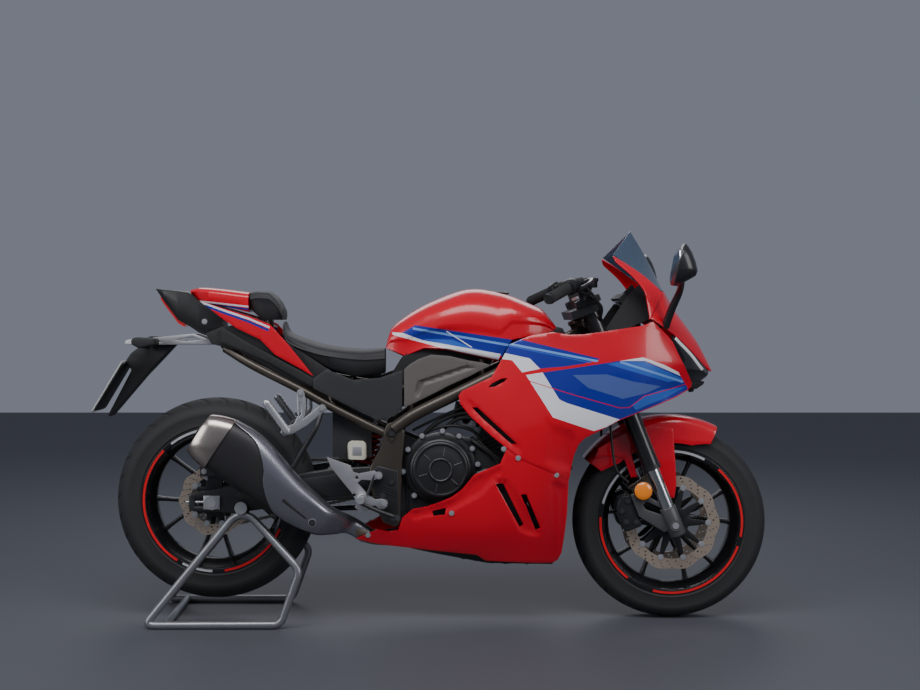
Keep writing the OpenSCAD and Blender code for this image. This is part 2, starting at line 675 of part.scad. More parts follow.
// Half widths of the fairing: at each height, [x, half width] pairs
fairing_plan = [
    [180, [[-240, 104], [0, 124], [200, 132], [320, 122], [400, 84]]],
    [300, [[-240, 134], [0, 170], [200, 182], [320, 168], [405, 134]]],
    [450, [[-100, 176], [60, 190], [250, 204], [350, 196], [418, 168]]],
    [600, [[60, 186], [200, 202], [300, 214], [400, 213], [560, 190], [650, 166]]],
    [700, [[60, 180], [200, 194], [300, 208], [400, 216], [600, 196], [700, 160], [790, 96], [815, 62]]],
    [800, [[190, 172], [300, 196], [400, 210], [500, 212], [600, 200], [700, 170], [780, 126], [850, 64]]],
    [900, [[230, 158], [300, 172], [400, 190], [500, 198], [600, 188], [680, 166], [760, 110]]]];
function fairing_y(x, z) = lookup(z, [for (r = fairing_plan) [r[0], lookup(x, r[1])]]);

// Edges of the panels in the side view, [x, z]
cowl_top = [[78, 700], [90, 712], [177, 754], [204, 800], [230, 852], [295, 876], [361, 886],
    [449, 882], [511, 890], [631, 908], [664, 920]];
side_low = [[78, 684], [110, 640], [175, 578], [220, 542], [263, 506], [374, 456], [412, 440],
    [418, 500], [432, 545], [446, 562], [490, 590], [559, 625], [644, 657], [740, 692], [782, 711],
    [806, 720]];
lower_top = [[-232, 262], [-169, 290], [-134, 284], [-100, 290], [-91, 330], [-57, 357], [-16, 363],
    [56, 394], [87, 417], [125, 463], [202, 497], [216, 532], [263, 500], [374, 450], [410, 434]];
lower_low = [[-232, 257], [-159, 243], [34, 224], [134, 214], [161, 195], [370, 183], [384, 192],
    [397, 216], [401, 259], [408, 340], [412, 420]];
nose_line = [[664, 920], [700, 886], [735, 854], [775, 800], [806, 745]];
side_top = concat([for (p = cowl_top) if (p[0] < 664) p], nose_line);

// A side panel between two edge lines, at the stations xs
module side_skin(xs, low, top, rows) {
    wall([for (x = xs) let (z0 = lookup(x, low), z1 = lookup(x, top))
        [for (k = [0 : rows]) let (z = mix(z0, z1, k / rows)) [x, -fairing_y(x, z), z]]], skin);
}

// A screw post behind a panel, out from the bracket's face
module post(x, z, y_in, r = 7) {
    pin(x, z, r, -fairing_y(x, z) + skin * 0.6, -y_in);
}

module side_fairings() {
    color("red") both() {
        side_skin([80, 110, 140, 177, 204, 221, 263, 300, 340, 374, 410, 422, 434, 450, 490, 530,
            575, 620, 660, 664, 690, 720, 748, 775, 804], side_low, side_top, 8);
        post(270, 672, bracket_y);
        post(392, 560, 158);
        post(640, 852, 120, 9);
    }
}

module lower_cowls() {
    color("red") both() {
        side_skin([-228, -190, -150, -120, -100, -91, -70, -40, 0, 40, 80, 120, 161, 200, 218, 263,
            310, 350, 384, 398, 410], lower_low, lower_top, 6);
        post(cowl_boss[0], cowl_boss[1], bracket_y);
        post(40, 318, lower_bracket);
    }
}

// Rows of the nose cowl: [centre x, centre z, edge x, edge z, edge half width]
nose_rows = [[740, 984, 664, 928, 166], [751, 963, 696, 901, 152], [787, 915, 735, 868, 128],
    [827, 859, 778, 822, 92], [856, 806, 818, 788, 56], [876, 766, 858, 764, 20]];
function nose_point(r, v) = [mix(r[0], r[2], pow(abs(v), 2.5)), r[4] * v, mix(r[1], r[3], pow(abs(v), 2))];

// The cowl's upper edge: under the screen as far as y = 112, then down beside it
function sill(y) = [724 - 22 * pow(y / 112, 2), y, 1010 + 4 * pow(y / 112, 2)];
function cowl_edge(y) = abs(y) < 112 ? sill(y)
    : mix([702, sign(y) * 112, 1014], [652, sign(y) * 170, 930], (abs(y) - 112) / 58);
nose_grid = concat([[for (v = [1 : -0.125 : -1]) cowl_edge(170 * v)]],
    [for (r = nose_rows) [for (v = [1 : -0.125 : -1]) nose_point(r, v)]]);

// Arm of the nose cowl beside the screen: [x, y, z] of its lower and upper edge
arm_rows = [[[655, 170, 928], [704, 114, 1008]], [[648, 164, 976], [676, 124, 1034]],
    [[640, 160, 1012], [640, 126, 1064]], [[606, 152, 1056], [596, 126, 1094]],
    [[556, 144, 1100], [550, 128, 1122]]];

module upper_cowl() {
    color("red") {
        wall(nose_grid, skin);
        both() {
            wall([for (r = arm_rows) [for (k = [0 : 3]) let (p = mix(r[0], r[1], k / 3))
                [p[0], -p[1], p[2]]]], skin);
            pin(702, 910, 8, -146, -100);
        }
    }
    color("#1b1b1e") {
        wall([for (v = [1 : -0.25 : -1]) [for (k = [0 : 2])
            [mix(834 - 22 * v * v, 812 - 10 * v * v, k / 2), 50 * v, mix(738, 706, k / 2)]]], skin);
        bar([692, 0, 816], [821, 0, 714], 8);
        translate([stay_x, -12, 806]) cube([20, 24, 28]);
    }
}

module windscreen() {
    color("#39455a") wall([for (t = [0 : 0.125 : 1]) [for (v = [1 : -0.125 : -1])
        mix(sill(112 * v) + [0, 0, 0.8], [621 - 69 * v * v, 118 * v, 1203 - 77 * pow(abs(v), 1.3)], t)]], 3);
}

module headlights() {
    color("#20242c") both() {
        wall([for (k = [0 : 3]) [for (j = [0 : 3]) mix(lamp_low[k], lamp_high[k], j / 3)
            + [6 * sin(60 * j), 0, 0]]], 5);
        translate([stay_x, -85, 800]) cube([96, 30, 28]);
    }
}

// Lower and upper edge of a headlight, from the outside in
lamp_low = [[732, -131, 853], [764, -120, 811], [796, -96, 772], [822, -54, 738]];
lamp_high = [[734, -122, 855], [768, -90, 813], [810, -58, 774], [846, -22, 748]];

module dashboard() {
    color("#1b1b1e") {
        translate([612, 0, 960]) rotate([0, -38, 0]) translate([-12, -88, -50]) cube([26, 176, 100]);
        bar([640, 0, 940], [640, 0, 865 + fit], 14);
    }
}

module mirrors() {
    foot = nose_grid[2][14];
    out = -grid_normal(nose_grid, 2, 14);
    color("#17181b") both() {
        bent([foot + out * 0.7, foot + out * 26, [738, -196, 1010], [732, -330, 1072]], 8.5, 20);
        loft([for (p = mirror_rows) [for (c = mirror_section) [700 + c[0] * p[2], p[0], p[1] + c[1] * p[2]]]]);
    }
}

// The mirror's head: rows of [y, centre height, scale] of one section of [x, z]
mirror_rows = [[-272, 1072, 0.45], [-290, 1076, 0.8], [-320, 1082, 1], [-360, 1086, 1], [-384, 1086, 0.75],
    [-392, 1086, 0.5]];
mirror_section = [[20, 58], [44, 40], [58, 0], [50, -36], [10, -54], [2, -50], [10, 56]];

module side_panels() {
    color("#3a3a3d") both() {
        tail_skin([-362, -340, -312, -260, -241, -200, -160, -120, -92],
            [[-366, 716], [-300, 686], [-166, 620], [-140, 620], [-90, 654]],
            [[-366, 748], [-320, 780], [-312, 770], [-241, 744], [-160, 750], [-89, 776]], 2);
        tail_skin([-86, -60, -44, 0, 50, 100, 150, 170],
            [[-90, 656], [-44, 680], [0, 702], [50, 728], [111, 756], [150, 776], [176, 788]],
            [[-90, 778], [-71, 792], [-44, 808], [-4, 822], [50, 818], [111, 804], [150, 798], [176, 792]],
            2);
        pin(-200, 700, 8, -140.2, -118);
        pin(60, 750, 7, -150.6, -138);
    }
}

module battery_box() {
    color("#2b2b2d") difference() {
        translate([-306, -94, 505]) cube([120, 188, 207.1]);
        translate([-307, -42, 500]) cube([122, 84, 160]);
        both() bar([-298, -122, 655], [-330, -96, 748], 10);
    }
}

module shock_absorber() {
    color("#8c0a14") difference() {
        union() {
            bar([shock_low[0], 0, shock_low[1]], [shock_top[0], 0, shock_top[1]], 12);
            bar(mix(shock_at(0), shock_at(1), 0.2), shock_at(0.78), 34);
            pin(shock_low[0], shock_low[1], 14, -18.7, 18.7);
            pin(shock_top[0], shock_top[1], 16, -18, 18);
        }
        pin(shock_low[0], shock_low[1], 6 + running, -20, 20);
        pin(shock_top[0], shock_top[1], 7 + running, -20, 20);
    }
}
function shock_at(t) = mix([shock_low[0], 0, shock_low[1]], [shock_top[0], 0, shock_top[1]], t);

module rider_footrests() {
    color("#c9cbd0") both() {
        plate([[-318, 512], [-310, 522], [-250, 490], [-232, 466], [-226, 452], [-172, 466], [-160, 470],
            [-150, 458], [-160, 448], [-200, 444], [-186, 398], [-150, 386], [-138, 374], [-148, 362],
            [-172, 368], [-226, 400], [-262, 452]], -178, -168);
        pin(-146, 375, 11, -174, -plate_out);
        pin(-162, 458, 11, -174, -plate_out);
        pin(-215, 392, 12, -252, -176);
        pin(-215, 392, 16, -190, -170);
    }
}

module pillion_footrests() {
    color("#c9cbd0") both() {
        plate([[-400, 718], [-414, 706], [-424, 600], [-442, 588], [-430, 576], [-330, 648],
            [-320, 660], [-334, 674], [-405, 620], [-396, 640], [-388, 700]], -148, -136 - fit);
        plate([[-440, 574], [-424, 590], [-500, 688], [-514, 682], [-500, 660]], -168, -147);
    }
}

module rear_caliper() {
    color("#2b2b2d") translate(rear) difference() {
        union() {
            pin(0, 0, 26, -91.7, -86);
            translate([-20, -91.7, 0]) cube([44, 5.7, 130]);
            translate([-42, -101, 76]) cube([84, 45, 58]);
        }
        pin(0, 0, axle_r + running, -100, -80);
        pin(0, 0, 116, -86, -70.5);
    }
}

// ---- stands ----

module paddock_stand() {
    y = stand_w / 2;
    r = stand_tube_r;
    apex_z = bobbin_z - 12 - r - fit;
    color("#9a9da3") {
        both() bent_loop([[-862, -y, r], [-600, -arm_out - 11, apex_z], [-552, -arm_out - 11, apex_z],
            [-398, -y, 176], [-456, -y, r]], r, 26);
        pin(-800, r, r - 1, -y, y);
    }
}

module side_stand() {
    color("#1b1b1e") stand_axis() difference() {
        union() {
            translate([0, 0, -10]) cylinder(h = 20, r = 17);
            bar([-12, 0, 0], [-228, 10, 0], 10, 9);
            translate([-244, 4, -26]) cube([34, 12, 44]);
        }
        translate([0, 0, -30]) cylinder(h = 60, r = 7 + running);
    }
}

// ---- front end ----

// Half section of the fender's crown, open inwards
function fender_section(r, t) = [[r - 90 + (t > 0 ? -1 : 0), fender_y - t], [r - 30, fender_y - t],
    [r + 2 - t, 46 - t], [r + 12 - t, 0], [r + 2 - t, t - 46], [r - 30, t - fender_y],
    [r - 90 + (t > 0 ? -1 : 0), t - fender_y]];

module fork_legs() {
    color("#232326") steer_frame() both() translate([clamp_offset, -fork_y, 0]) {
        translate([0, 0, 190]) cylinder(h = fork_top - 190, r = fork_tube_r);
        translate([0, 0, fork_top - 1]) cylinder(h = 8, r = fork_tube_r - 6);
    }
    color("#c9cbd0") steer_frame() both() translate([clamp_offset, -fork_y, 30])
        cylinder(h = 170, r = slider_r);
    color("#4a4a4c") {
        steer_frame() both() {
            translate([clamp_offset, -fork_y, -34]) cylinder(h = 90, r = slider_r + 5);
            plate([[clamp_offset, -12], [clamp_offset, 52], [-30, 132], [caliper_x + fit, 132],
                [caliper_x + fit, 60], [0, -12]], -fork_y - 6, -fork_y + 8);
        }
        pin(front_x, front_tyre_r, axle_r, -fork_y - 30, fork_y + 30);
        both() pin(front_x, front_tyre_r, 16, -fork_y, -68);
    }
}

module triple_clamps() {
    color("#232326") steer_frame() {
        for (z = [head_low - 32, head_high + 6]) difference() {
            translate([-26, -fork_y - 38, z]) cube([clamp_offset + 56, fork_spacing + 76, 26]);
            both() translate([clamp_offset, -fork_y, z - 1]) cylinder(h = 30, r = fork_tube_r + fit);
        }
        translate([0, 0, head_low - 12]) cylinder(h = head_high - head_low + 40, r = stem_r);
    }
}

module handlebars() {
    color("#17181b") steer_frame() both() {
        difference() {
            union() {
                translate([clamp_offset, -fork_y, 722 + fit]) cylinder(h = 20, r = fork_tube_r + 10);
                translate([16, -fork_y - 48, 724]) cube([34, 40, 20]);
                translate([16, -fork_y - 48, 724]) cube([34, 18, 80]);
            }
            translate([clamp_offset, -fork_y, 720]) cylinder(h = 40, r = fork_tube_r + fit);
        }
        bent([[24, -fork_y - 34, 790], [10, -206, 797], [-92, -335, 788]], 11, 20);
        bar(grip_in, grip_out, 17);
        bar(grip_in - unit(grip_out - grip_in) * 4, grip_in + unit(grip_out - grip_in) * 26, 24);
    }
}

// Ends of the right grip, in the steering frame
grip_in = [0, -218, 796];
grip_out = [-88, -330, 788.4];

module front_fender() {
    r = front_tyre_r + 18;
    color("red") {
        translate([front_x, 0, front_tyre_r]) rotate([90, 0, 0]) rotate([0, 0, 64])
            rotate_extrude(angle = 80) difference() {
                polygon(fender_section(r, 0));
                translate([-0.01, 0]) polygon(fender_section(r, 3));
            }
        both() {
            plate([[508, 530], [560, 560], [600, 570], [742, 560], [752, 420], [744, 378], [716, 396],
                [668, 436], [640, 440], [612, 440], [580, 510], [520, 500]], -fender_y, -fender_y + 3);
            steer_frame() translate([clamp_offset, 0, 170]) pin(0, 0, 9, -fork_y + slider_r + fit, -fender_y + 2);
        }
    }
}
fender_y = 73;

module front_calipers() {
    color("#232326") steer_frame() both() difference() {
        translate([caliper_x - 56, -98, 30]) cube([56, 56, 104]);
        translate([clamp_offset, 0, 0]) pin(0, 0, 154, -68.5, -52.5);
    }
}

frame();
subframe();
swingarm();
engine();
engine_covers();
radiator();
exhaust_header();
muffler();
muffler_guard();
chain();
fuel_tank();
seats();
seat_cowl();
tail_fairing();
tail_panels();
tail_light();
rear_fender();
rear_indicators();
side_panels();
upper_cowl();
side_fairings();
lower_cowls();
windscreen();
headlights();
dashboard();
mirrors();
rider_footrests();
pillion_footrests();
shock_absorber();
battery_box();
rear_caliper();
paddock_stand();
side_stand();
rear_rim();
rear_tyre();
rear_disc();
rear_sprocket();
front_rim();
front_tyre();
front_discs();
fork_legs();
triple_clamps();
handlebars();
front_fender();
front_calipers();
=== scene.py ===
"""A faired sport motorcycle with a twin-cylinder engine, standing on a rear paddock stand. Millimetres in the sections, metres in the meshes."""

import math

import bmesh
import bpy
from mathutils import Matrix, Vector
from mathutils.geometry import delaunay_2d_cdt


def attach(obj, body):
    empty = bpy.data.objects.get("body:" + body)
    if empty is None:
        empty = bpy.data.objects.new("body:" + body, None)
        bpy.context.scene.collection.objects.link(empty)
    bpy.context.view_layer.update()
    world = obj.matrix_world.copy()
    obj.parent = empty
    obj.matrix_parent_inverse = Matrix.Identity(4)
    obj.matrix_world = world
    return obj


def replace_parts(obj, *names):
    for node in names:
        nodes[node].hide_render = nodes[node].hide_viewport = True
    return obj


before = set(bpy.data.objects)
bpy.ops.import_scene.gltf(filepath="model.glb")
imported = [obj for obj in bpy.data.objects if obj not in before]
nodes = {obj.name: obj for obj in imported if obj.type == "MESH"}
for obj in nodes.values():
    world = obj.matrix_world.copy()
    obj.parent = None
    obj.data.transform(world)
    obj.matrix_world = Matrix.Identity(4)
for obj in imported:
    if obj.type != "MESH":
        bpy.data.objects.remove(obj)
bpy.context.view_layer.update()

# ---- camera, studio and floor ----
# The machine is seen square from its right side, from a little below the height of its screen.
# A wide soft light hangs above it, with a weaker one at each end, over a plain dark floor.
sight = bpy.data.cameras.new("sight")
sight.lens, sight.sensor_width = 54.08, 36
sight.shift_x, sight.shift_y = 0.0435, -0.0326
sight_stand = bpy.data.objects.new("sight", sight)
sight_stand.location = (-0.038, -4.334, 0.941)
sight_stand.rotation_euler = (math.radians(90), 0, 0)
bpy.context.scene.collection.objects.link(sight_stand)
bpy.context.scene.camera = sight_stand

for name, place, power, wide, deep in (
    ("light_over", (-0.3, -2.2, 3.6), 120, 4.2, 1.6),
    ("light_front", (3.4, -2.4, 1.8), 42, 1.6, 2.0),
    ("light_rear", (-3.4, -2.0, 1.6), 34, 1.6, 2.0),
    ("light_left", (0.2, 3.2, 2.8), 34, 3.6, 1.6),
    ):
    lamp = bpy.data.lights.new(name, "AREA")
    lamp.energy, lamp.shape, lamp.size, lamp.size_y = power, "RECTANGLE", wide, deep
    lamp_stand = bpy.data.objects.new(name, lamp)
    lamp_stand.location = place
    lamp_stand.rotation_euler = (Vector((0, 0, 0.6)) - Vector(place)).to_track_quat("-Z", "Y").to_euler()
    bpy.context.scene.collection.objects.link(lamp_stand)

sky = bpy.data.worlds.new("studio")
sky.use_nodes = True
sky.node_tree.nodes["Background"].inputs["Color"].default_value = (0.42, 0.45, 0.55, 1)
sky.node_tree.nodes["Background"].inputs["Strength"].default_value = 0.42
bpy.context.scene.world = sky

floor_mesh = bpy.data.meshes.new("floor")
floor_mesh.from_pydata([(-9, -9, 0), (9, -9, 0), (9, 9, 0), (-9, 9, 0)], [], [(0, 1, 2, 3)])
floor = bpy.data.objects.new("floor", floor_mesh)
bpy.context.scene.collection.objects.link(floor)
floor_paint = bpy.data.materials.new("floor_paint")
floor_paint.use_nodes = True
floor_paint.node_tree.nodes["Principled BSDF"].inputs["Base Color"].default_value = (0.075, 0.08, 0.095, 1)
floor_paint.node_tree.nodes["Principled BSDF"].inputs["Roughness"].default_value = 0.6
floor_mesh.materials.append(floor_paint)

# ---- front tyre and rear tyre ----
# Black road rubber over a round crown, with slanted water grooves cut 4 mm deep into the tread.
# Each is one turned skin of many steps, so that the grooves are real hollows.
FRONT = Vector((740, 0, 300))
REAR = Vector((-670, 0, 371))


def angles(n):
    """The angles of n points evenly round a circle."""
    return [2 * math.pi * k / n for k in range(n)]


def grain_group():
    """Fine surface grain: a value that varies, and the normal of its bumps."""
    tree = bpy.data.node_groups.new("surface_grain", "ShaderNodeTree")
    for label, kind, value in (("Scale", "NodeSocketFloat", 900), ("Depth", "NodeSocketFloat", 0.1)):
        tree.interface.new_socket(label, in_out="INPUT", socket_type=kind).default_value = value
    tree.interface.new_socket("Value", in_out="OUTPUT", socket_type="NodeSocketFloat")
    tree.interface.new_socket("Normal", in_out="OUTPUT", socket_type="NodeSocketVector")
    start, end = tree.nodes.new("NodeGroupInput"), tree.nodes.new("NodeGroupOutput")
    where = tree.nodes.new("ShaderNodeTexCoord")
    noise = tree.nodes.new("ShaderNodeTexNoise")
    noise.inputs["Detail"].default_value = 3
    bump = tree.nodes.new("ShaderNodeBump")
    bump.inputs["Distance"].default_value = 0.001
    tree.links.new(where.outputs["Object"], noise.inputs["Vector"])
    tree.links.new(start.outputs["Scale"], noise.inputs["Scale"])
    tree.links.new(start.outputs["Depth"], bump.inputs["Strength"])
    tree.links.new(noise.outputs["Fac"], bump.inputs["Height"])
    tree.links.new(noise.outputs["Fac"], end.inputs["Value"])
    tree.links.new(bump.outputs["Normal"], end.inputs["Normal"])
    return tree


def wear_group():
    """Where an edge stands proud, it is rubbed a little brighter."""
    tree = bpy.data.node_groups.new("edge_wear", "ShaderNodeTree")
    tree.interface.new_socket("Reach", in_out="INPUT", socket_type="NodeSocketFloat").default_value = 0.55
    tree.interface.new_socket("Mask", in_out="OUTPUT", socket_type="NodeSocketFloat")
    start, end = tree.nodes.new("NodeGroupInput"), tree.nodes.new("NodeGroupOutput")
    edge = tree.nodes.new("ShaderNodeNewGeometry")
    spread = tree.nodes.new("ShaderNodeMapRange")
    spread.inputs["From Max"].default_value = 0.68
    tree.links.new(edge.outputs["Pointiness"], spread.inputs["Value"])
    tree.links.new(start.outputs["Reach"], spread.inputs["From Min"])
    tree.links.new(spread.outputs["Result"], end.inputs["Mask"])
    return tree


grain = grain_group()
edge_wear = wear_group()


def coat(name, colour, rough=0.5, metal=0.0, scale=900, depth=0.1, vary=0.12, wear=0.0, worn=None, gloss=0.0,
    clear=0.0, ior=1.5, glow=None):
    """A finish: its colour varied by the grain, its edges worn, and its gloss uneven."""
    made = bpy.data.materials.new(name)
    made.use_nodes = True
    tree = made.node_tree
    surface = tree.nodes["Principled BSDF"]
    fine = tree.nodes.new("ShaderNodeGroup")
    fine.node_tree = grain
    fine.inputs["Scale"].default_value, fine.inputs["Depth"].default_value = scale, depth
    tree.links.new(fine.outputs["Normal"], surface.inputs["Normal"])
    broad = tree.nodes.new("ShaderNodeGroup")
    broad.node_tree = grain
    broad.inputs["Scale"].default_value, broad.inputs["Depth"].default_value = 7, 0
    ramp = tree.nodes.new("ShaderNodeMix")
    ramp.data_type = "RGBA"
    dark = [c * (1 - vary) for c in colour]
    light = [min(1, c * (1 + vary)) for c in colour]
    ramp.inputs["A"].default_value, ramp.inputs["B"].default_value = (*dark, 1), (*light, 1)
    tree.links.new(broad.outputs["Value"], ramp.inputs["Factor"])
    last = ramp.outputs["Result"]
    if wear:
        rub = tree.nodes.new("ShaderNodeGroup")
        rub.node_tree = edge_wear
        rub.inputs["Reach"].default_value = 0.56
        mixed = tree.nodes.new("ShaderNodeMix")
        mixed.data_type = "RGBA"
        strength = tree.nodes.new("ShaderNodeMath")
        strength.operation = "MULTIPLY"
        strength.inputs[1].default_value = wear
        tree.links.new(rub.outputs["Mask"], strength.inputs[0])
        tree.links.new(strength.outputs[0], mixed.inputs["Factor"])
        tree.links.new(last, mixed.inputs["A"])
        mixed.inputs["B"].default_value = (*(worn or [min(1, c * 2 + 0.05) for c in colour]), 1)
        last = mixed.outputs["Result"]
    tree.links.new(last, surface.inputs["Base Color"])
    even = tree.nodes.new("ShaderNodeMapRange")
    even.inputs["To Min"].default_value, even.inputs["To Max"].default_value = max(0.02, rough - 0.07), min(1,
        rough + 0.09)
    tree.links.new(fine.outputs["Value"], even.inputs["Value"])
    tree.links.new(even.outputs["Result"], surface.inputs["Roughness"])
    surface.inputs["Metallic"].default_value = metal
    surface.inputs["IOR"].default_value = ior
    surface.inputs["Coat Weight"].default_value = gloss
    surface.inputs["Coat Roughness"].default_value = 0.04
    surface.inputs["Transmission Weight"].default_value = clear
    if glow:
        surface.inputs["Emission Color"].default_value = (*glow[:3], 1)
        surface.inputs["Emission Strength"].default_value = glow[3]
    return made


def build(name, points, faces, body, coats, marks=None, sharp=38, thick=0.0, round_off=0.0, steps=2, soft=0,
    double=True,
    outward=True):
    """A finished piece of points in millimetres: doubles merged, faces outwards, then wall, rounded edges and gloss."""
    mesh = bpy.data.meshes.new(name)
    mesh.from_pydata([Vector(p) * 0.001 for p in points], [], faces)
    for c in coats if isinstance(coats, (list, tuple)) else [coats]:
        mesh.materials.append(c)
    if marks:
        mesh.polygons.foreach_set("material_index", marks)
    shape = bmesh.new()
    shape.from_mesh(mesh)
    if double:
        bmesh.ops.remove_doubles(shape, verts=shape.verts, dist=0.00002)
    if outward:
        bmesh.ops.recalc_face_normals(shape, faces=shape.faces)
    shape.to_mesh(mesh)
    shape.free()
    made = bpy.data.objects.new(name, mesh)
    bpy.context.scene.collection.objects.link(made)
    if thick:
        wall = made.modifiers.new("wall", "SOLIDIFY")
        wall.thickness, wall.offset = thick * 0.001, -1
    if soft:
        swell = made.modifiers.new("swell", "SUBSURF")
        swell.levels = swell.render_levels = soft
    if round_off:
        edge = made.modifiers.new("edge", "BEVEL")
        edge.width, edge.segments, edge.limit_method = round_off * 0.001, steps, "ANGLE"
        edge.angle_limit = math.radians(40)
        edge.use_clamp_overlap = True
    if made.modifiers:
        settled = bpy.data.meshes.new_from_object(made.evaluated_get(bpy.context.evaluated_depsgraph_get()))
        made.modifiers.clear()
        made.data = settled
    made.data.polygons.foreach_set("use_smooth", [True] * len(made.data.polygons))
    made.data.set_sharp_from_angle(angle=math.radians(sharp))
    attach(made, body)
    return made


def skin_faces(rows, across, closed=False, ends=False):
    """Faces of a skin of rows of points, its rows closed into rings or not, and its ends capped or not."""
    span = across if closed else across - 1
    faces = [(i * across + j, i * across + (j + 1) % across, (i + 1) * across + (j + 1) % across,
        (i + 1) * across + j)
        for i in range(rows - 1) for j in range(span)]
    if ends:
        faces += [tuple(range(across))[::-1], tuple((rows - 1) * across + j for j in range(across))]
    return faces


def loft(name, rings, body, coats, closed=True, ends=True, both=False, **more):
    """A body through rings of equal count; with both, its twin on the other side of the machine comes with it."""
    points = [p for r in rings for p in r]
    faces = skin_faces(len(rings), len(rings[0]), closed, ends)
    if both:
        count = len(points)
        points += [(p[0], -p[1], p[2]) for p in points]
        faces += [tuple(count + i for i in reversed(f)) for f in faces]
    return build(name, points, faces, body, coats, **more)


def turned(name, centre, profile, body, coats, steps=96, both=False, **more):
    """A piece turned about Y through centre, from a profile of (radius, y)."""
    rings = [[(centre[0] + r * math.cos(2 * math.pi * k / steps), y,
        centre[2] + r * math.sin(2 * math.pi * k / steps))
        for k in range(steps)] for r, y in profile]
    return loft(name, rings, body, coats, ends=True, both=both, **more)


def tyre(name, centre, radius, width, body):
    across, around, teeth = 40, 720, 30
    crown = radius - width / 2 * 0.62
    bead = width / 2 - 12
    rings = []
    for k in range(around):
        turn = 2 * math.pi * k / around
        ring = []
        for j in range(across + 1):
            a = math.pi * j / across
            v = math.cos(a)
            lean = (teeth * k / around + 0.9 * abs(v) + (0.5 if v > 0 else 0)) % 1.0
            cut = 4.2 if 0.12 < abs(v) < 0.80 and abs(lean - 0.5) < 0.075 else 0.0
            r = crown + (radius - crown) * math.sin(a) - cut
            ring.append((centre[0] + r * math.cos(turn), (width / 2) * v, centre[2] + r * math.sin(turn)))
        for r, y in ((236, -bead - 7), (233, -bead - 8.5), (230, -bead - 7), (216.3, -bead), (222, 0), (216.3, bead),
            (230, bead + 7), (233, bead + 8.5), (236, bead + 7)):
            ring.append((centre[0] + r * math.cos(turn), y, centre[2] + r * math.sin(turn)))
        rings.append(ring)
    points = [p for r in rings for p in r]
    n = len(rings[0])
    faces = [(i * n + j, i * n + (j + 1) % n, (i + 1) % around * n + (j + 1) % n, (i + 1) % around * n + j)
        for i in range(around) for j in range(n)]
    made = build(name, points, faces, body, rubber, sharp=50)
    return made


rubber = coat("road_rubber", (0.018, 0.018, 0.020), rough=0.72, scale=1400, depth=0.25, wear=0.35,
    worn=(0.06, 0.06, 0.062))
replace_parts(tyre("front_tread", FRONT, 300, 120, "front_wheel"), "front_tyre")
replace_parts(tyre("rear_tread", REAR, 312, 160, "rear_wheel"), "rear_tyre")

# ---- wheels ----
# Cast alloy rims in gloss black: a turned barrel, five pairs of thin spokes and a hub, one piece each.
# Red and silver tape follows the rim's flange in broken arcs.
def flat(name, outline, holes, y0, y1, body, coats, both=False, round_off=0.0, steps=2, spin=None):
    """A plate cut to an outline in X and Z, with holes, from y0 to y1."""
    loops = [outline, *holes]
    spots, joins = [], []
    for lap in loops:
        first = len(spots)
        spots += [Vector(p) for p in lap]
        joins += [(first + i, first + (i + 1) % len(lap)) for i in range(len(lap))]
    out, _, tris, *_ = delaunay_2d_cdt(spots, joins, [], 0, 0.001)
    kept = []
    for t in tris:
        c = sum((out[i] for i in t), Vector((0, 0))) / 3
        if within(c, outline) and not any(within(c, h) for h in holes):
            kept.append(tuple(t))
    rim = {}
    for t in kept:
        for a, b in zip(t, t[1:] + t[:1]):
            rim[(a, b)] = 1
    walls = [(a, b) for a, b in rim if (b, a) not in rim]
    n = len(out)
    points = [(p.x, y0, p.y) for p in out] + [(p.x, y1, p.y) for p in out]
    faces = kept + [tuple(n + i for i in reversed(t)) for t in kept] + [(b, a, n + a, n + b) for a, b in walls]
    used = sorted({i for f in faces for i in f})
    place = {v: i for i, v in enumerate(used)}
    points = [points[v] for v in used]
    faces = [tuple(place[i] for i in f) for f in faces]
    if both:
        count = len(points)
        points += [(p[0], -p[1], p[2]) for p in points]
        faces += [tuple(count + i for i in reversed(f)) for f in faces]
    return build(name, points, faces, body, coats, round_off=round_off, steps=steps, sharp=30)


def within(p, loop):
    inside = False
    for (ax, az), (bx, bz) in zip(loop, loop[1:] + loop[:1]):
        if (az > p[1]) != (bz > p[1]) and p[0] < (bx - ax) * (p[1] - az) / (bz - az) + ax:
            inside = not inside
    return inside


def circle(x, z, r, n=24):
    return [(x + r * math.cos(2 * math.pi * k / n), z + r * math.sin(2 * math.pi * k / n)) for k in range(n)]


rim_black = coat("rim_black", (0.012, 0.012, 0.014), rough=0.26, metal=0.35, scale=500, depth=0.03, gloss=0.5,
    wear=0.3,
    worn=(0.10, 0.10, 0.11))
tape_red = coat("tape_red", (0.72, 0.012, 0.018), rough=0.3, scale=600, depth=0.02)
tape_silver = coat("tape_silver", (0.62, 0.63, 0.66), rough=0.28, metal=0.4, scale=600, depth=0.02)


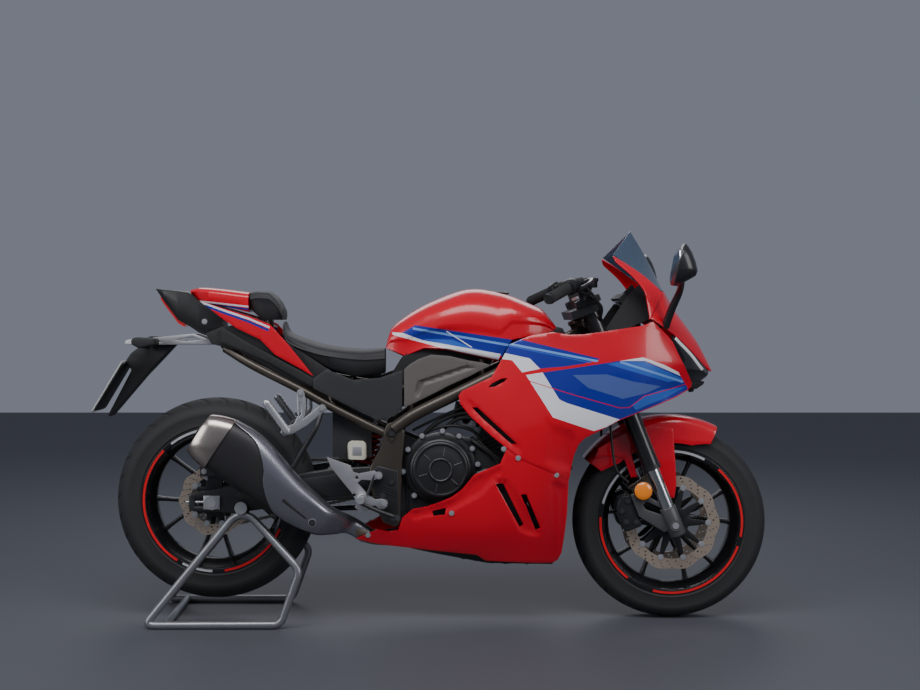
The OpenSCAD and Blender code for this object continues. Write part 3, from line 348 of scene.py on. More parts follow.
def wheel(name, centre, width, phase, hub_r, body, tapes):
    bead = width / 2 - 12
    half = [(212, 0), (190, 0), (190, 14), (196, 24), (208, bead - 12), (210, bead + 2), (212, bead + 7),
        (226, bead + 7),
        (227.5, bead + 5), (227, bead + 2.6), (216, bead - 0.3)]
    profile = [(r, -y) for r, y in half[:0:-1]] + half[1:]
    n = len(profile)
    points, faces, around = [], [], 160
    for k in range(around):
        turn = 2 * math.pi * k / around
        points += [(centre.x + r * math.cos(turn), y, centre.z + r * math.sin(turn)) for r, y in profile]
    faces = [(k * n + j, k * n + (j + 1) % n, (k + 1) % around * n + (j + 1) % n, (k + 1) % around * n + j)
        for k in range(around) for j in range(n)]
    barrel = build(name + "_barrel", points, faces, body, rim_black, round_off=0.8)
    for i in range(5):
        for s in (-1, 1):
            rings = []
            for r, off, wide, deep in ((hub_r - 6, 10, 9, 15), (60, 12, 9, 14), (92, 16, 8, 13), (130, 29, 7, 12),
                (165, 42, 7.5, 12), (196, 54, 11, 13)):
                along = Vector((math.cos(math.radians(phase + 72 * i)), 0, math.sin(math.radians(phase + 72 * i))))
                side = Vector((-along.z, 0, along.x)) * s
                mid = centre + along * r + side * off
                rings.append([tuple(mid + side * wide * math.copysign(abs(math.cos(a)) ** 0.6, math.cos(a))
                    + Vector((0, deep * math.copysign(abs(math.sin(a)) ** 0.6, math.sin(a)), 0)))
                    for a in (2 * math.pi * (q + 0.5) / 16 for q in range(16))])
            loft(f"{name}_spoke_{i}_{'a' if s < 0 else 'b'}", rings, body, rim_black, sharp=50)
    turned(name + "_hub", centre, [(hub_r - 6, -52), (hub_r, -49), (hub_r, -34), (hub_r - 5, -30), (hub_r - 5, 30),
        (hub_r, 34),
        (hub_r, 49), (hub_r - 6, 52)], body, rim_black, round_off=1)
    for q, (start, end, paint) in enumerate(tapes):
        for s in (-1, 1):
            arc = [math.radians(start + (end - start) * k / 40) for k in range(41)]
            ring = [[(centre.x + r * math.cos(a), s * (bead + h), centre.z + r * math.sin(a)) for a in arc]
                for r, h in ((215.5, 7.0), (215.5, 7.5), (222.5, 7.5), (222.5, 7.0))]
            rows = [[ring[j][k] for j in range(4)] for k in range(41)]
            loft(f"{name}_tape_{q}_{'r' if s < 0 else 'l'}", rows, body, paint, sharp=30)
    return barrel


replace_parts(wheel("front_wheel", FRONT, 120, 13, 40, "front_wheel",
    [(-105, -20, tape_red), (-12, 48, tape_red), (62, 100, tape_silver), (112, 165, tape_silver),
    (176, 232, tape_red)]),
    "front_rim")
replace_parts(wheel("rear_wheel", REAR, 160, -20, 46, "rear_wheel",
    [(-82, -24, tape_red), (-14, 40, tape_silver), (72, 128, tape_silver), (136, 238, tape_red),
    (243, 268, tape_silver)]),
    "rear_rim")

# ---- brake discs ----
# Stainless discs with a wavy rim, pierced in a spiral, on dark alloy carriers held by ten rivets.
disc_steel = coat("disc_steel", (0.50, 0.41, 0.33), rough=0.36, metal=0.7, scale=260, depth=0.05, vary=0.2)
carrier_black = coat("carrier_black", (0.03, 0.03, 0.033), rough=0.38, metal=0.5, scale=700, depth=0.06, wear=0.4)
silver_alloy = coat("silver_alloy", (0.47, 0.48, 0.50), rough=0.34, metal=0.7, scale=700, depth=0.08, wear=0.2)


def wave_disc(name, centre, radius, inner, arm, y0, y1, body, both):
    lobes = 10
    edge = [(centre.x + (radius - 3 + 3 * math.cos(lobes * a)) * math.cos(a),
        centre.z + (radius - 3 + 3 * math.cos(lobes * a)) * math.sin(a))
        for a in angles(160)]
    holes = [circle(centre.x, centre.z, inner, 80)]
    for k in range(30):
        a = 2 * math.pi * k / 30
        for q in range(3):
            r = inner + (radius - inner) * (0.24 + 0.25 * q)
            turn = a + 0.055 * q
            holes.append(circle(centre.x + r * math.cos(turn), centre.z + r * math.sin(turn), 2.9, 10))
    face = flat(name, edge, holes, y0, y1, body, disc_steel, both=both)
    spider = []
    for k in range(100):
        a = 2 * math.pi * k / 100
        spider.append((centre.x + (arm + (inner - 1 - arm) * (0.5 + 0.5 * math.cos(10 * a)) ** 2.2) * math.cos(a),
            centre.z + (arm + (inner - 1 - arm) * (0.5 + 0.5 * math.cos(10 * a)) ** 2.2) * math.sin(a)))
    flat(name + "_carrier", spider, [circle(centre.x, centre.z, 26, 32)], y0 - 0.6, y1 + 0.4, body, carrier_black,
        both=both, round_off=0.8)
    places = [(centre.x + (inner + 0.5) * math.cos(math.radians(36 * k)), y0 - 1.2,
        centre.z + (inner + 0.5) * math.sin(math.radians(36 * k)), -1)
        for k in range(10)]
    if both:
        places += [(x, -y, z, 1) for x, y, z, _ in places]
    screws(name + "_rivets", places, 6.5, 3.0, body, silver_alloy, 12)
    return face


def screw_tree():
    """One tree for every set of screws and rivets: a head on each point, turned to face outwards."""
    tree = bpy.data.node_groups.new("screw_heads", "GeometryNodeTree")
    tree.interface.new_socket("Geometry", in_out="INPUT", socket_type="NodeSocketGeometry")
    for label, kind, value in (("Radius", "NodeSocketFloat", 0.005), ("Height", "NodeSocketFloat", 0.004),
        ("Sides", "NodeSocketInt", 12)):
        tree.interface.new_socket(label, in_out="INPUT", socket_type=kind).default_value = value
    tree.interface.new_socket("Finish", in_out="INPUT", socket_type="NodeSocketMaterial")
    tree.interface.new_socket("Geometry", in_out="OUTPUT", socket_type="NodeSocketGeometry")
    start, end = tree.nodes.new("NodeGroupInput"), tree.nodes.new("NodeGroupOutput")
    head = tree.nodes.new("GeometryNodeMeshCylinder")
    cone = tree.nodes.new("GeometryNodeMeshCone")
    cap = tree.nodes.new("GeometryNodeMeshCylinder")
    half = tree.nodes.new("ShaderNodeMath")
    half.operation, half.inputs[1].default_value = "MULTIPLY", 0.5
    collar = tree.nodes.new("ShaderNodeMath")
    collar.operation, collar.inputs[1].default_value = "MULTIPLY", 1.45
    thin = tree.nodes.new("ShaderNodeMath")
    thin.operation, thin.inputs[1].default_value = "MULTIPLY", 0.3
    joined = tree.nodes.new("GeometryNodeJoinGeometry")
    spread = tree.nodes.new("GeometryNodeInstanceOnPoints")
    facing = tree.nodes.new("GeometryNodeInputNamedAttribute")
    facing.data_type = "FLOAT_VECTOR"
    facing.inputs["Name"].default_value = "facing"
    align = tree.nodes.new("FunctionNodeAlignRotationToVector")
    align.axis = "Z"
    real = tree.nodes.new("GeometryNodeRealizeInstances")
    paint = tree.nodes.new("GeometryNodeSetMaterial")
    link = tree.links.new
    link(start.outputs["Sides"], head.inputs["Vertices"])
    link(start.outputs["Radius"], head.inputs["Radius"])
    link(start.outputs["Height"], head.inputs["Depth"])
    link(start.outputs["Radius"], collar.inputs[0])
    link(start.outputs["Height"], thin.inputs[0])
    cap.inputs["Vertices"].default_value = 20
    link(collar.outputs[0], cap.inputs["Radius"])
    link(thin.outputs[0], cap.inputs["Depth"])
    link(head.outputs["Mesh"], joined.inputs[0])
    link(cap.outputs["Mesh"], joined.inputs[0])
    link(start.outputs["Geometry"], spread.inputs["Points"])
    link(joined.outputs[0], spread.inputs["Instance"])
    link(facing.outputs["Attribute"], align.inputs["Vector"])
    link(align.outputs["Rotation"], spread.inputs["Rotation"])
    link(spread.outputs["Instances"], real.inputs["Geometry"])
    link(real.outputs["Geometry"], paint.inputs["Geometry"])
    link(start.outputs["Finish"], paint.inputs["Material"])
    link(paint.outputs["Geometry"], end.inputs["Geometry"])
    for spare in (cone, half):
        tree.nodes.remove(spare)
    return tree


screw_heads = screw_tree()


def screws(name, places, radius, height, body, paint, sides=6):
    """Screw heads with a collar at places of (x, y, z, side), or (x, y, z, (nx, ny, nz))."""
    mesh = bpy.data.meshes.new(name)
    mesh.from_pydata([Vector(p[:3]) * 0.001 for p in places], [], [])
    ways = mesh.attributes.new("facing", "FLOAT_VECTOR", "POINT")
    for spot, p in zip(ways.data, places):
        spot.vector = (0, p[3], 0) if isinstance(p[3], (int, float)) else p[3]
    made = bpy.data.objects.new(name, mesh)
    bpy.context.scene.collection.objects.link(made)
    grow = made.modifiers.new("heads", "NODES")
    grow.node_group = screw_heads
    named = {s.name: s.identifier for s in screw_heads.interface.items_tree if s.in_out == "INPUT"}
    grow[named["Radius"]], grow[named["Height"]], grow[named["Sides"]] = radius * 0.001, height * 0.001, sides
    grow[named["Finish"]] = paint
    settled = bpy.data.meshes.new_from_object(made.evaluated_get(bpy.context.evaluated_depsgraph_get()))
    made.modifiers.clear()
    made.data = settled
    settled.polygons.foreach_set("use_smooth", [True] * len(settled.polygons))
    settled.set_sharp_from_angle(angle=math.radians(40))
    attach(made, body)
    return made


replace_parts(wave_disc("front_disc", FRONT, 148, 112, 52, -63, -58, "front_wheel", True), "front_discs")
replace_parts(wave_disc("rear_disc_face", REAR, 110, 74, 50, -81, -76, "rear_wheel", False), "rear_disc")

# ---- side fairings and lower cowls ----
# Moulded plastic panels, 4 mm thick, painted red with blue and white fields under one clear coat.
# Each is cut to its outline with its vents open, then laid on the fairing's curved plan.
PLAN = [
    (180, [(-240, 104), (0, 124), (200, 132), (320, 122), (400, 84)]),
    (300, [(-240, 134), (0, 170), (200, 182), (320, 168), (405, 134)]),
    (450, [(-100, 176), (60, 190), (250, 204), (350, 196), (418, 168)]),
    (600, [(60, 186), (200, 202), (300, 214), (400, 213), (560, 190), (650, 166)]),
    (700, [(60, 180), (200, 194), (300, 208), (400, 216), (600, 196), (700, 160), (790, 96), (815, 62)]),
    (800, [(190, 172), (300, 196), (400, 210), (500, 212), (600, 200), (700, 170), (780, 126), (850, 64)]),
    (900, [(230, 158), (300, 172), (400, 190), (500, 198), (600, 188), (680, 166), (760, 110)])]


def level(table, x):
    """The value at x along straight steps of (x, value)."""
    if x <= table[0][0]:
        return table[0][1]
    for (a, u), (b, v) in zip(table, table[1:]):
        if x <= b:
            return u + (v - u) * (x - a) / (b - a)
    return table[-1][1]


def eased(table, x):
    """The value at x along a smooth line through (x, value)."""
    if x <= table[0][0]:
        return table[0][1]
    if x >= table[-1][0]:
        return table[-1][1]
    for i, ((a, u), (b, v)) in enumerate(zip(table, table[1:])):
        if x <= b:
            before, after = table[max(0, i - 1)], table[min(len(table) - 1, i + 2)]
            m0 = (v - before[1]) / max(1e-6, b - before[0])
            m1 = (after[1] - u) / max(1e-6, after[0] - a)
            t = (x - a) / (b - a)
            return ((2 * t ** 3 - 3 * t * t + 1) * u + (t ** 3 - 2 * t * t + t) * (b - a) * m0
                + (3 * t * t - 2 * t ** 3) * v + (t ** 3 - t * t) * (b - a) * m1)
    return table[-1][1]


def flank(x, z):
    return eased([(h, eased(row, x)) for h, row in PLAN], z)


def off_line(p, loop):
    """Distance from p to an outline."""
    best = 1e9
    for (ax, az), (bx, bz) in zip(loop, loop[1:] + loop[:1]):
        dx, dz = bx - ax, bz - az
        t = max(0, min(1, ((p[0] - ax) * dx + (p[1] - az) * dz) / max(1e-9, dx * dx + dz * dz)))
        best = min(best, math.hypot(p[0] - ax - t * dx, p[1] - az - t * dz))
    return best


def resample(loop, step, shut=True):
    spots = []
    for a, b in zip(loop, loop[1:] + (loop[:1] if shut else [])):
        n = max(1, round(math.dist(a, b) / step))
        spots += [(a[0] + (b[0] - a[0]) * k / n, a[1] + (b[1] - a[1]) * k / n) for k in range(n)]
    return spots if shut else spots + [loop[-1]]


def moulded(name, outline, holes, fields, depth, body, coats, step=13, thick=4, both=True, hollows=(), round_off=1.1):
    """A moulded panel: an outline in X and Z with holes, painted in fields, its outer face at y = -depth(x, z).
    A hollow is (outline, depth, slope): its floor lies that much deeper, over a slope that wide."""
    spots, joins = [], []
    for loop in [outline, *holes, *[f[0] for f in fields], *[h[0] for h in hollows]]:
        lap = resample(loop, step)
        first = len(spots)
        spots += [Vector(p) for p in lap]
        joins += [(first + i, first + (i + 1) % len(lap)) for i in range(len(lap))]
    xs, zs = [p[0] for p in outline], [p[1] for p in outline]
    rows = int((max(zs) - min(zs)) / (step * 0.87)) + 1
    for j in range(rows):
        z = min(zs) + (j + 0.5) * step * 0.87
        for i in range(int((max(xs) - min(xs)) / step) + 1):
            p = (min(xs) + (i + 0.5 * (j % 2)) * step, z)
            if within(p, outline) and off_line(p, outline) > step * 0.4:
                spots.append(Vector(p))
    out, _, tris, *_ = delaunay_2d_cdt(spots, joins, [], 0, 0.01)
    faces, marks = [], []
    for t in tris:
        c = sum((out[i] for i in t), Vector((0, 0))) / 3
        if not within(c, outline) or any(within(c, h) for h in holes):
            continue
        paint = 0
        for area, mark in fields:
            if within(c, area):
                paint = mark
        faces.append(tuple(t))
        marks.append(paint)
    used = sorted({i for f in faces for i in f})
    place = {v: i for i, v in enumerate(used)}
    points = []
    for v in used:
        p = out[v]
        y = depth(p.x, p.y)
        for area, deep, slope in hollows:
            if within(p, area):
                y -= deep * min(1, off_line(p, area) / slope)
        points.append((p.x, -y, p.y))
    faces = [tuple(place[i] for i in f) for f in faces]
    turned_faces = []
    for f in faces:
        a, b, c = (Vector(points[i]) for i in f)
        turned_faces.append(f if (b - a).cross(c - a).y < 0 else f[::-1])
    faces = turned_faces
    if both:
        count = len(points)
        points += [(p[0], -p[1], p[2]) for p in points]
        faces += [tuple(count + i for i in reversed(f)) for f in faces]
        marks += marks
    made = build(name, points, faces, body, coats, marks=marks, thick=thick, round_off=round_off, sharp=32,
        double=False, outward=False)
    return made


def paint(name, colour, flake=0.1):
    return coat(name, colour, rough=0.24, scale=1700, depth=0.012, vary=flake, gloss=0.45)


race_red = paint("race_red", (0.64, 0.001, 0.016), 0.05)
deep_blue = paint("deep_blue", (0.010, 0.022, 0.30), 0.12)
mid_blue = paint("mid_blue", (0.03, 0.12, 0.52), 0.12)
grey_blue = paint("grey_blue", (0.075, 0.12, 0.36), 0.12)
light_blue = paint("light_blue", (0.16, 0.34, 0.78), 0.1)
clean_white = paint("clean_white", (0.78, 0.79, 0.84), 0.03)
PAINTS = [race_red, clean_white, deep_blue, mid_blue, grey_blue, light_blue]


def streak(a, b, wide):
    """A straight band between two points, as an outline."""
    d = Vector(b) - Vector(a)
    n = Vector((-d.y, d.x)).normalized() * wide / 2
    return [tuple(Vector(a) + n), tuple(Vector(b) + n), tuple(Vector(b) - n), tuple(Vector(a) - n)]


def ribbon(points, wide):
    """A band of even width along bent points, as an outline."""
    left, right = [], []
    for i, p in enumerate(points):
        d = Vector(points[min(i + 1, len(points) - 1)]) - Vector(points[max(i - 1, 0)])
        n = Vector((-d.y, d.x)).normalized() * wide / 2
        left.append(tuple(Vector(p) + n))
        right.append(tuple(Vector(p) - n))
    return left + right[::-1]


BLUE_FIELD = [(328, 770), (545, 803), (631, 805), (751, 757), (777, 731), (782, 714), (740, 695), (560, 628),
    (399, 679), (377, 690)]
side_outline = [(78, 700), (90, 714), (177, 755), (198, 790), (206, 804), (232, 852), (262, 866), (295, 879),
    (361, 890), (411, 882),
    (449, 883), (511, 891), (631, 909), (664, 921), (696, 893), (713, 877), (728, 860), (749, 816), (776, 768),
    (797, 733), (795, 720),
    (782, 711), (740, 692), (644, 657), (559, 625), (490, 590), (455, 573), (436, 552), (424, 520), (417, 484),
    (412, 446),
    (374, 462), (263, 512), (220, 544), (175, 580), (110, 640), (82, 676)]
side_fields = [
    ([(213, 827), (239, 864), (262, 868), (501, 810), (430, 790), (321, 781), (292, 810)], 2),
    (streak((222, 856), (493, 803), 7), 5),
    (streak((230, 848), (480, 797), 3), 3),
    ([(194, 810), (204, 822), (216, 827), (291, 811), (321, 780), (268, 769), (239, 805)], 1),
    ([(279, 761), (328, 770), (381, 687), (403, 678), (560, 628), (520, 606), (482, 594), (358, 636)], 1),
    (BLUE_FIELD, 2),
    ([(519, 795), (571, 803), (640, 800), (770, 743), (710, 739)], 3),
    (streak((560, 801), (764, 737), 7), 5),
    ([(418, 762), (519, 764), (570, 690), (463, 724)], 4),
    ([(519, 764), (600, 742), (690, 726), (640, 706), (568, 690)], 4),
    ([(597, 672), (640, 700), (690, 716), (777, 722), (700, 690), (650, 672), (610, 655)], 3),
    ([(560, 804), (631, 814), (700, 790), (751, 765), (757, 754), (640, 803)], 1),
    (ribbon([(272, 765), (400, 784), (545, 806)], 8), 0),
    (ribbon([(284, 745), (430, 700), (560, 663), (590, 664), (635, 698), (779, 731)], 2.4), 0),
    ([(744, 770), (752, 758), (778, 722), (806, 720), (806, 745), (790, 776), (770, 800)], 0)]
side_vents = [[(166, 724), (178, 736), (206, 750), (224, 752), (216, 742), (186, 726)],
    [(118, 664), (134, 664), (252, 556), (234, 556), (146, 634)]]
upper = moulded("fairing_side", side_outline, side_vents, side_fields, flank, "chassis", PAINTS,
    hollows=[([(300, 690), (352, 620), (420, 596), (436, 566), (430, 520), (421, 470), (372, 476), (330, 500),
    (336, 560), (340, 600)], 5, 22),
    ([(90, 690), (112, 690), (150, 654), (270, 546), (262, 520), (225, 548), (180, 586), (116, 644)], 6, 16)])
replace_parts(upper, "side_fairings")

lower_outline = [(-234, 259), (-169, 290), (-134, 284), (-104, 290), (-91, 330), (-57, 357), (-16, 363), (56, 394),
    (87, 417),
    (125, 463), (202, 497), (216, 530), (222, 541), (263, 517), (374, 466), (410, 450), (408, 340), (401, 259),
    (396, 213),
    (384, 190), (370, 183), (161, 195), (134, 214), (34, 224), (-159, 243)]
lower_vents = [[(188, 436), (211, 437), (274, 310), (263, 302)], [(264, 403), (280, 405), (326, 298), (312, 290)],
    [(-1, 351), (40, 361), (37, 340), (2, 337)]]
lower = moulded("cowl_lower", lower_outline, lower_vents, [], lambda x, z: flank(x, z) - 1.5, "chassis", PAINTS,
    hollows=[([(180, 450), (224, 452), (330, 290), (322, 268), (262, 286)], 5, 10),
    ([(350, 448), (406, 430), (402, 300), (394, 222), (380, 200), (372, 300), (360, 400)], 6, 14),
    ([(-80, 345), (60, 388), (120, 452), (205, 490), (212, 470), (150, 400), (60, 350), (-60, 318)], 5, 12)])
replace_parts(lower, "lower_cowls")
screws("cowl_screws", [(x, s * (flank(x, z) + 0.4), z, s) for x,
    z in ((255, 514), (371, 462), (57, 346), (212, 541), (-196, 272)) for s in (-1, 1)],
    5.5, 2.4, "chassis", silver_alloy, 6)

inner_black = coat("inner_black", (0.014, 0.014, 0.016), rough=0.62, scale=1100, depth=0.2, vary=0.2)
moulded("belly_pan", [(-150, 256), (-60, 224), (30, 206), (170, 180), (368, 176), (384, 196), (300, 232), (100, 240),
    (-60, 262)], [], [],
    lambda x, z: level([(-150, 96), (0, 104), (370, 96)], x) - 8, "chassis", [inner_black])
# dark sheets behind the vent slots: painted shade for the fairing's inside
moulded("vent_shade_sheet", [(170, 450), (224, 454), (336, 290), (320, 270), (250, 280)], [], [], lambda x,
    z: flank(x, z) - 26, "chassis",
    [inner_black], thick=2)
# the upper fairing's vents get the same dark sheet of painted shade
moulded("side_vent_shade_sheet", [(96, 690), (160, 740), (236, 768), (240, 720), (280, 556), (240, 540), (110, 650)], [], [],
    lambda x, z: flank(x, z) - 22, "chassis", [inner_black], thick=2)

# ---- nose cowl, chin and headlights ----
# One red shell over the nose, swept down to a point between two lamps, with an arm up each side of the screen.
# The lamps are black-backed clear lenses; the glowing bright bar laid along each one's upper edge is a painted
# highlight.
NOSE = [(740, 984, 664, 928, 166), (751, 963, 704, 902, 150), (787, 915, 752, 868, 122), (827, 859, 800, 826, 84),
    (856, 806, 838, 790, 48), (876, 766, 864, 766, 18)]


def sill(y):
    return Vector((724 - 22 * (y / 112) ** 2, y, 1010 + 4 * (y / 112) ** 2))


def nose_edge(y):
    if abs(y) < 112:
        return sill(y)
    t = (abs(y) - 112) / 58
    return Vector((702 - 50 * t, math.copysign(112 + 58 * t, y), 1014 - 84 * t))


nose_rings = [[nose_edge(170 * v / 24) for v in range(-24, 25)]]
for k in range(41):
    t = k / 40 * (len(NOSE) - 1)
    cx, cz, ex, ez, w = (eased([(i, row[q]) for i, row in enumerate(NOSE)], t) for q in range(5))
    nose_rings.append([Vector((cx + (ex - cx) * abs(v / 24) ** 2.5, w * v / 24,
        cz + (ez - cz) * abs(v / 24) ** 2)) for v in range(-24, 25)])
nose = loft("nose_cowl", nose_rings, "chassis", [race_red], closed=False, ends=False, thick=-4, round_off=1, sharp=50,
    outward=False)
ARM = [((655, 170, 928), (704, 114, 1008)), ((648, 164, 976), (676, 124, 1034)), ((640, 160, 1012), (640, 126, 1064)),
    ((606, 152, 1056), (596, 126, 1094)), ((556, 144, 1100), (550, 128, 1122))]
arm_rings = []
for k in range(33):
    t = k / 32 * 4
    a, b = ([eased([(i, row[e][q]) for i, row in enumerate(ARM)], t) for q in range(3)] for e in range(2))
    arm_rings.append([(a[0] + (b[0] - a[0]) * j / 8, -(a[1] + (b[1] - a[1]) * j / 8) - 5 * math.sin(math.pi * j / 8),
        a[2] + (b[2] - a[2]) * j / 8)
        for j in range(9)])
loft("nose_arms", arm_rings, "chassis", [race_red], closed=False, ends=False, both=True, thick=4, round_off=1,
    sharp=50, outward=True)
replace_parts(nose, "upper_cowl")

# painted highlight: a bright, faintly glowing metal bar laid on each lens along its upper edge
lamp_highlight_bar = coat("lamp_highlight_bar", (0.75, 0.78, 0.80), rough=0.12, metal=0.6, scale=500, depth=0.02,
    glow=(0.9, 0.95, 1.0, 0.25))
lens_clear = coat("lens_clear", (0.012, 0.013, 0.015), rough=0.06, scale=900, depth=0.01, gloss=0.8)
LOW = [(722, -136, 868), (738, -132, 840), (758, -124, 800), (784, -108, 752), (812, -62, 732), (842, -20, 738)]
HIGH = [(728, -134, 880), (745, -122, 866), (794, -92, 828), (832, -60, 792), (856, -26, 770), (864, -14, 765)]
lamp_rings, highlight_bar_rings = [], []
for k in range(31):
    t = k / 30 * 5
    a, b = (Vector([eased([(i, row[q]) for i, row in enumerate(e)], t) for q in range(3)]) for e in (LOW, HIGH))
    out = Vector((0.72, -0.62, 0.1))
    lamp_rings.append([a + (b - a) * j / 8 + out * 7 * math.sin(math.pi * j / 8) for j in range(9)])
    # the painted highlight's bar follows the lens a little outside its face
    if 3 <= k <= 20:
        c = a + (b - a) * 0.72 + out * 8.5
        highlight_bar_rings.append([c + out * 2 * math.cos(q) + (b - a).normalized() * 5.5 * math.sin(q) for q in angles(10)])
lamps = loft("headlamps", lamp_rings, "chassis", [lens_clear], closed=False, ends=False, both=True, thick=5, sharp=60)
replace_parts(lamps, "headlights")
loft("lamp_highlight_bars", highlight_bar_rings, "chassis", [lamp_highlight_bar], both=True, sharp=60)
chin_rings = [[Vector((834 - 22 * v * v - 16 * k / 8, 56 * v, 744 - 42 * k / 8)) for v in [q / 8 for q in range(-8,
    9)]] for k in range(9)]
loft("chin", chin_rings, "chassis", [inner_black], closed=False, ends=False, thick=4, sharp=50)
for s in (-1, 1):
    loft(f"beak_{'r' if s < 0 else 'l'}", [[(x, s * y, z) for x, y, z in row] for row in (
        [(782, 88, 716), (782, 94, 733), (776, 80, 735), (776, 74, 716)],
        [(818, 58, 712), (820, 60, 735), (812, 46, 737), (810, 44, 712)],
        [(846, 22, 724), (850, 24, 733), (846, 12, 735), (842, 12, 724)])], "chassis", [inner_black], round_off=2)

# ---- windscreen ----
# Smoked acrylic, 3 mm thick, rising from the nose's sill to a blunt point.
smoke = coat("smoke_screen", (0.10, 0.15, 0.24), rough=0.05, scale=600, depth=0.004, clear=0.5, gloss=0.3)
screen_rings = []
for k in range(25):
    t = k / 24
    row = []
    for q in range(-16, 17):
        v = q / 16
        foot, top = sill(112 * v) + Vector((0, 0, 0.8)), Vector((621 - 69 * abs(v), 118 * v, 1203 - 77 * abs(v)))
        row.append(foot + (top - foot) * t + Vector((4, 0, 3)) * math.sin(math.pi * t) * (1 - v * v))
    screen_rings.append(row)
screen = loft("windscreen_pane", screen_rings, "chassis", [smoke], closed=False, ends=False, thick=3, round_off=0.8,
    sharp=60)
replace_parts(screen, "windscreen")

# ---- fuel tank ----
# A pressed steel tank, red, with a blue band and a white line swept along each side, and a flush cap on top.
# Its sides pull in at the knees and its rear drops to the seat.
TANK_TOP = [(-142, 848), (-136, 884), (-122, 906), (-81, 938), (-26, 971), (48, 1003), (94, 1018), (125, 1022),
    (163, 1020),
    (232, 1005), (301, 978), (345, 956), (370, 926), (384, 906)]
TANK_LOW = [(-142, 838), (-84, 812), (-26, 836), (45, 834), (134, 816), (205, 800), (241, 862), (300, 874),
    (384, 880)]
TANK_WIDE = [(-142, 74), (-100, 92), (-26, 112), (60, 138), (130, 146), (230, 144), (300, 130), (384, 84)]
tank_rings = []
stations = [-142, -141, -138] + [-132 + 4 * k for k in range(129)] + [384]
for x in stations:
    top, foot, wide = level(TANK_TOP, x) if x < -130 else eased(TANK_TOP, x), level(TANK_LOW, x), eased(TANK_WIDE, x)
    mid = foot + (top - foot) * 0.42
    half = [(wide * math.sin(a) ** 0.8, mid + (top - mid) * max(0,
        math.cos(a)) ** 0.8) for a in (math.pi / 2 * q / 22 for q in range(23))]
    pull = 9 * math.exp(-((x - 20) / 70) ** 2)
    half += [(wide - 2 - pull * math.sin(math.pi * q / 12), mid + (foot - mid) * q / 12) for q in range(1, 12)]
    half += [(wide - 10, foot), (wide * 0.5, foot), (0, foot)]
    tank_rings.append([(x, y, z) for y, z in half] + [(x, -y, z) for y, z in half[-2:0:-1]])
tank_rows = len(tank_rings[0])
faces = skin_faces(len(tank_rings), tank_rows, True, True)
points = [p for r in tank_rings for p in r]
tank_fields = [([(-104, 880), (-53, 910), (244, 866), (262, 850), (240, 812), (203, 817), (-30, 862), (-91, 884)], 2),
    (streak((-60, 900), (240, 848), 7), 5), ([(-30, 868), (60, 866), (120, 842), (190, 826), (100, 838)], 3),
    ([(-124, 888), (-91, 886), (-30, 864), (207, 823), (200, 805), (31, 840), (-122, 880)], 1),
    (streak((42, 892), (119, 843), 3), 1)]


def field_of(x, z, fields):
    paint_at = 0
    for area, mark in fields:
        if within((x, z), area):
            paint_at = mark
    return paint_at


def cut_paint(name, points, faces, fields, body, coats, least_y=30, **more):
    """A painted skin: its faces are cut along the fields' edges on both sides, and each takes its field's paint."""
    mesh = bpy.data.meshes.new(name + "_cut")
    mesh.from_pydata([Vector(p) for p in points], [], faces)
    shape = bmesh.new()
    shape.from_mesh(mesh)
    bmesh.ops.remove_doubles(shape, verts=shape.verts, dist=0.01)
    for area, _ in fields:
        for a, b in zip(area, area[1:] + area[:1]):
            low, high = (min(a[0], b[0]) - 2, min(a[1], b[1]) - 2), (max(a[0], b[0]) + 2, max(a[1], b[1]) + 2)
            near = [f for f in shape.faces if abs(f.calc_center_median().y) > least_y
                and low[0] - 12 < f.calc_center_median().x < high[0] + 12 and low[1] - 12 < f.calc_center_median().z < high[1] + 12]
            parts = near + list({e for f in near for e in f.edges}) + list({v for f in near for v in f.verts})
            bmesh.ops.bisect_plane(shape, geom=parts, dist=0.001, plane_co=(a[0], 0, a[1]),
                plane_no=(b[1] - a[1], 0, a[0] - b[0]))
    shape.verts.index_update()
    marks = [field_of(f.calc_center_median().x, f.calc_center_median().z,
        fields) if abs(f.calc_center_median().y) > least_y else 0
        for f in shape.faces]
    out = [tuple(v.co) for v in shape.verts]
    cut = [tuple(v.index for v in f.verts) for f in shape.faces]
    shape.free()
    bpy.data.meshes.remove(mesh)
    return build(name, out, cut, body, coats, marks=marks, double=False, **more)


tank = cut_paint("tank_shell", points, faces, tank_fields, "chassis", PAINTS, sharp=55)
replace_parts(tank, "fuel_tank")
cap = turned("tank_cap_seat", (0, 0, 0), [(41, 1006), (41, 1011), (37, 1013), (30, 1013), (28, 1010), (6, 1010.5)],
    "chassis", carrier_black, steps=48)
cap.data.transform(Matrix.Translation((0.2, 0, 0)) @ Matrix.Rotation(math.radians(90), 4, "X") @ Matrix.Scale(1, 4))
screws("tank_cap_screws", [(200 + 33 * math.cos(a), 33 * math.sin(a), 1013.5, (0, 0, 1)) for a in angles(6)],
    2.6, 2, "chassis", silver_alloy, 6)
flat("tank_trim", [(241, 862), (250, 876), (372, 892), (384, 905), (400, 900), (410, 880), (300, 870)], [], -96, 96,
    "chassis",
    inner_black, round_off=2)

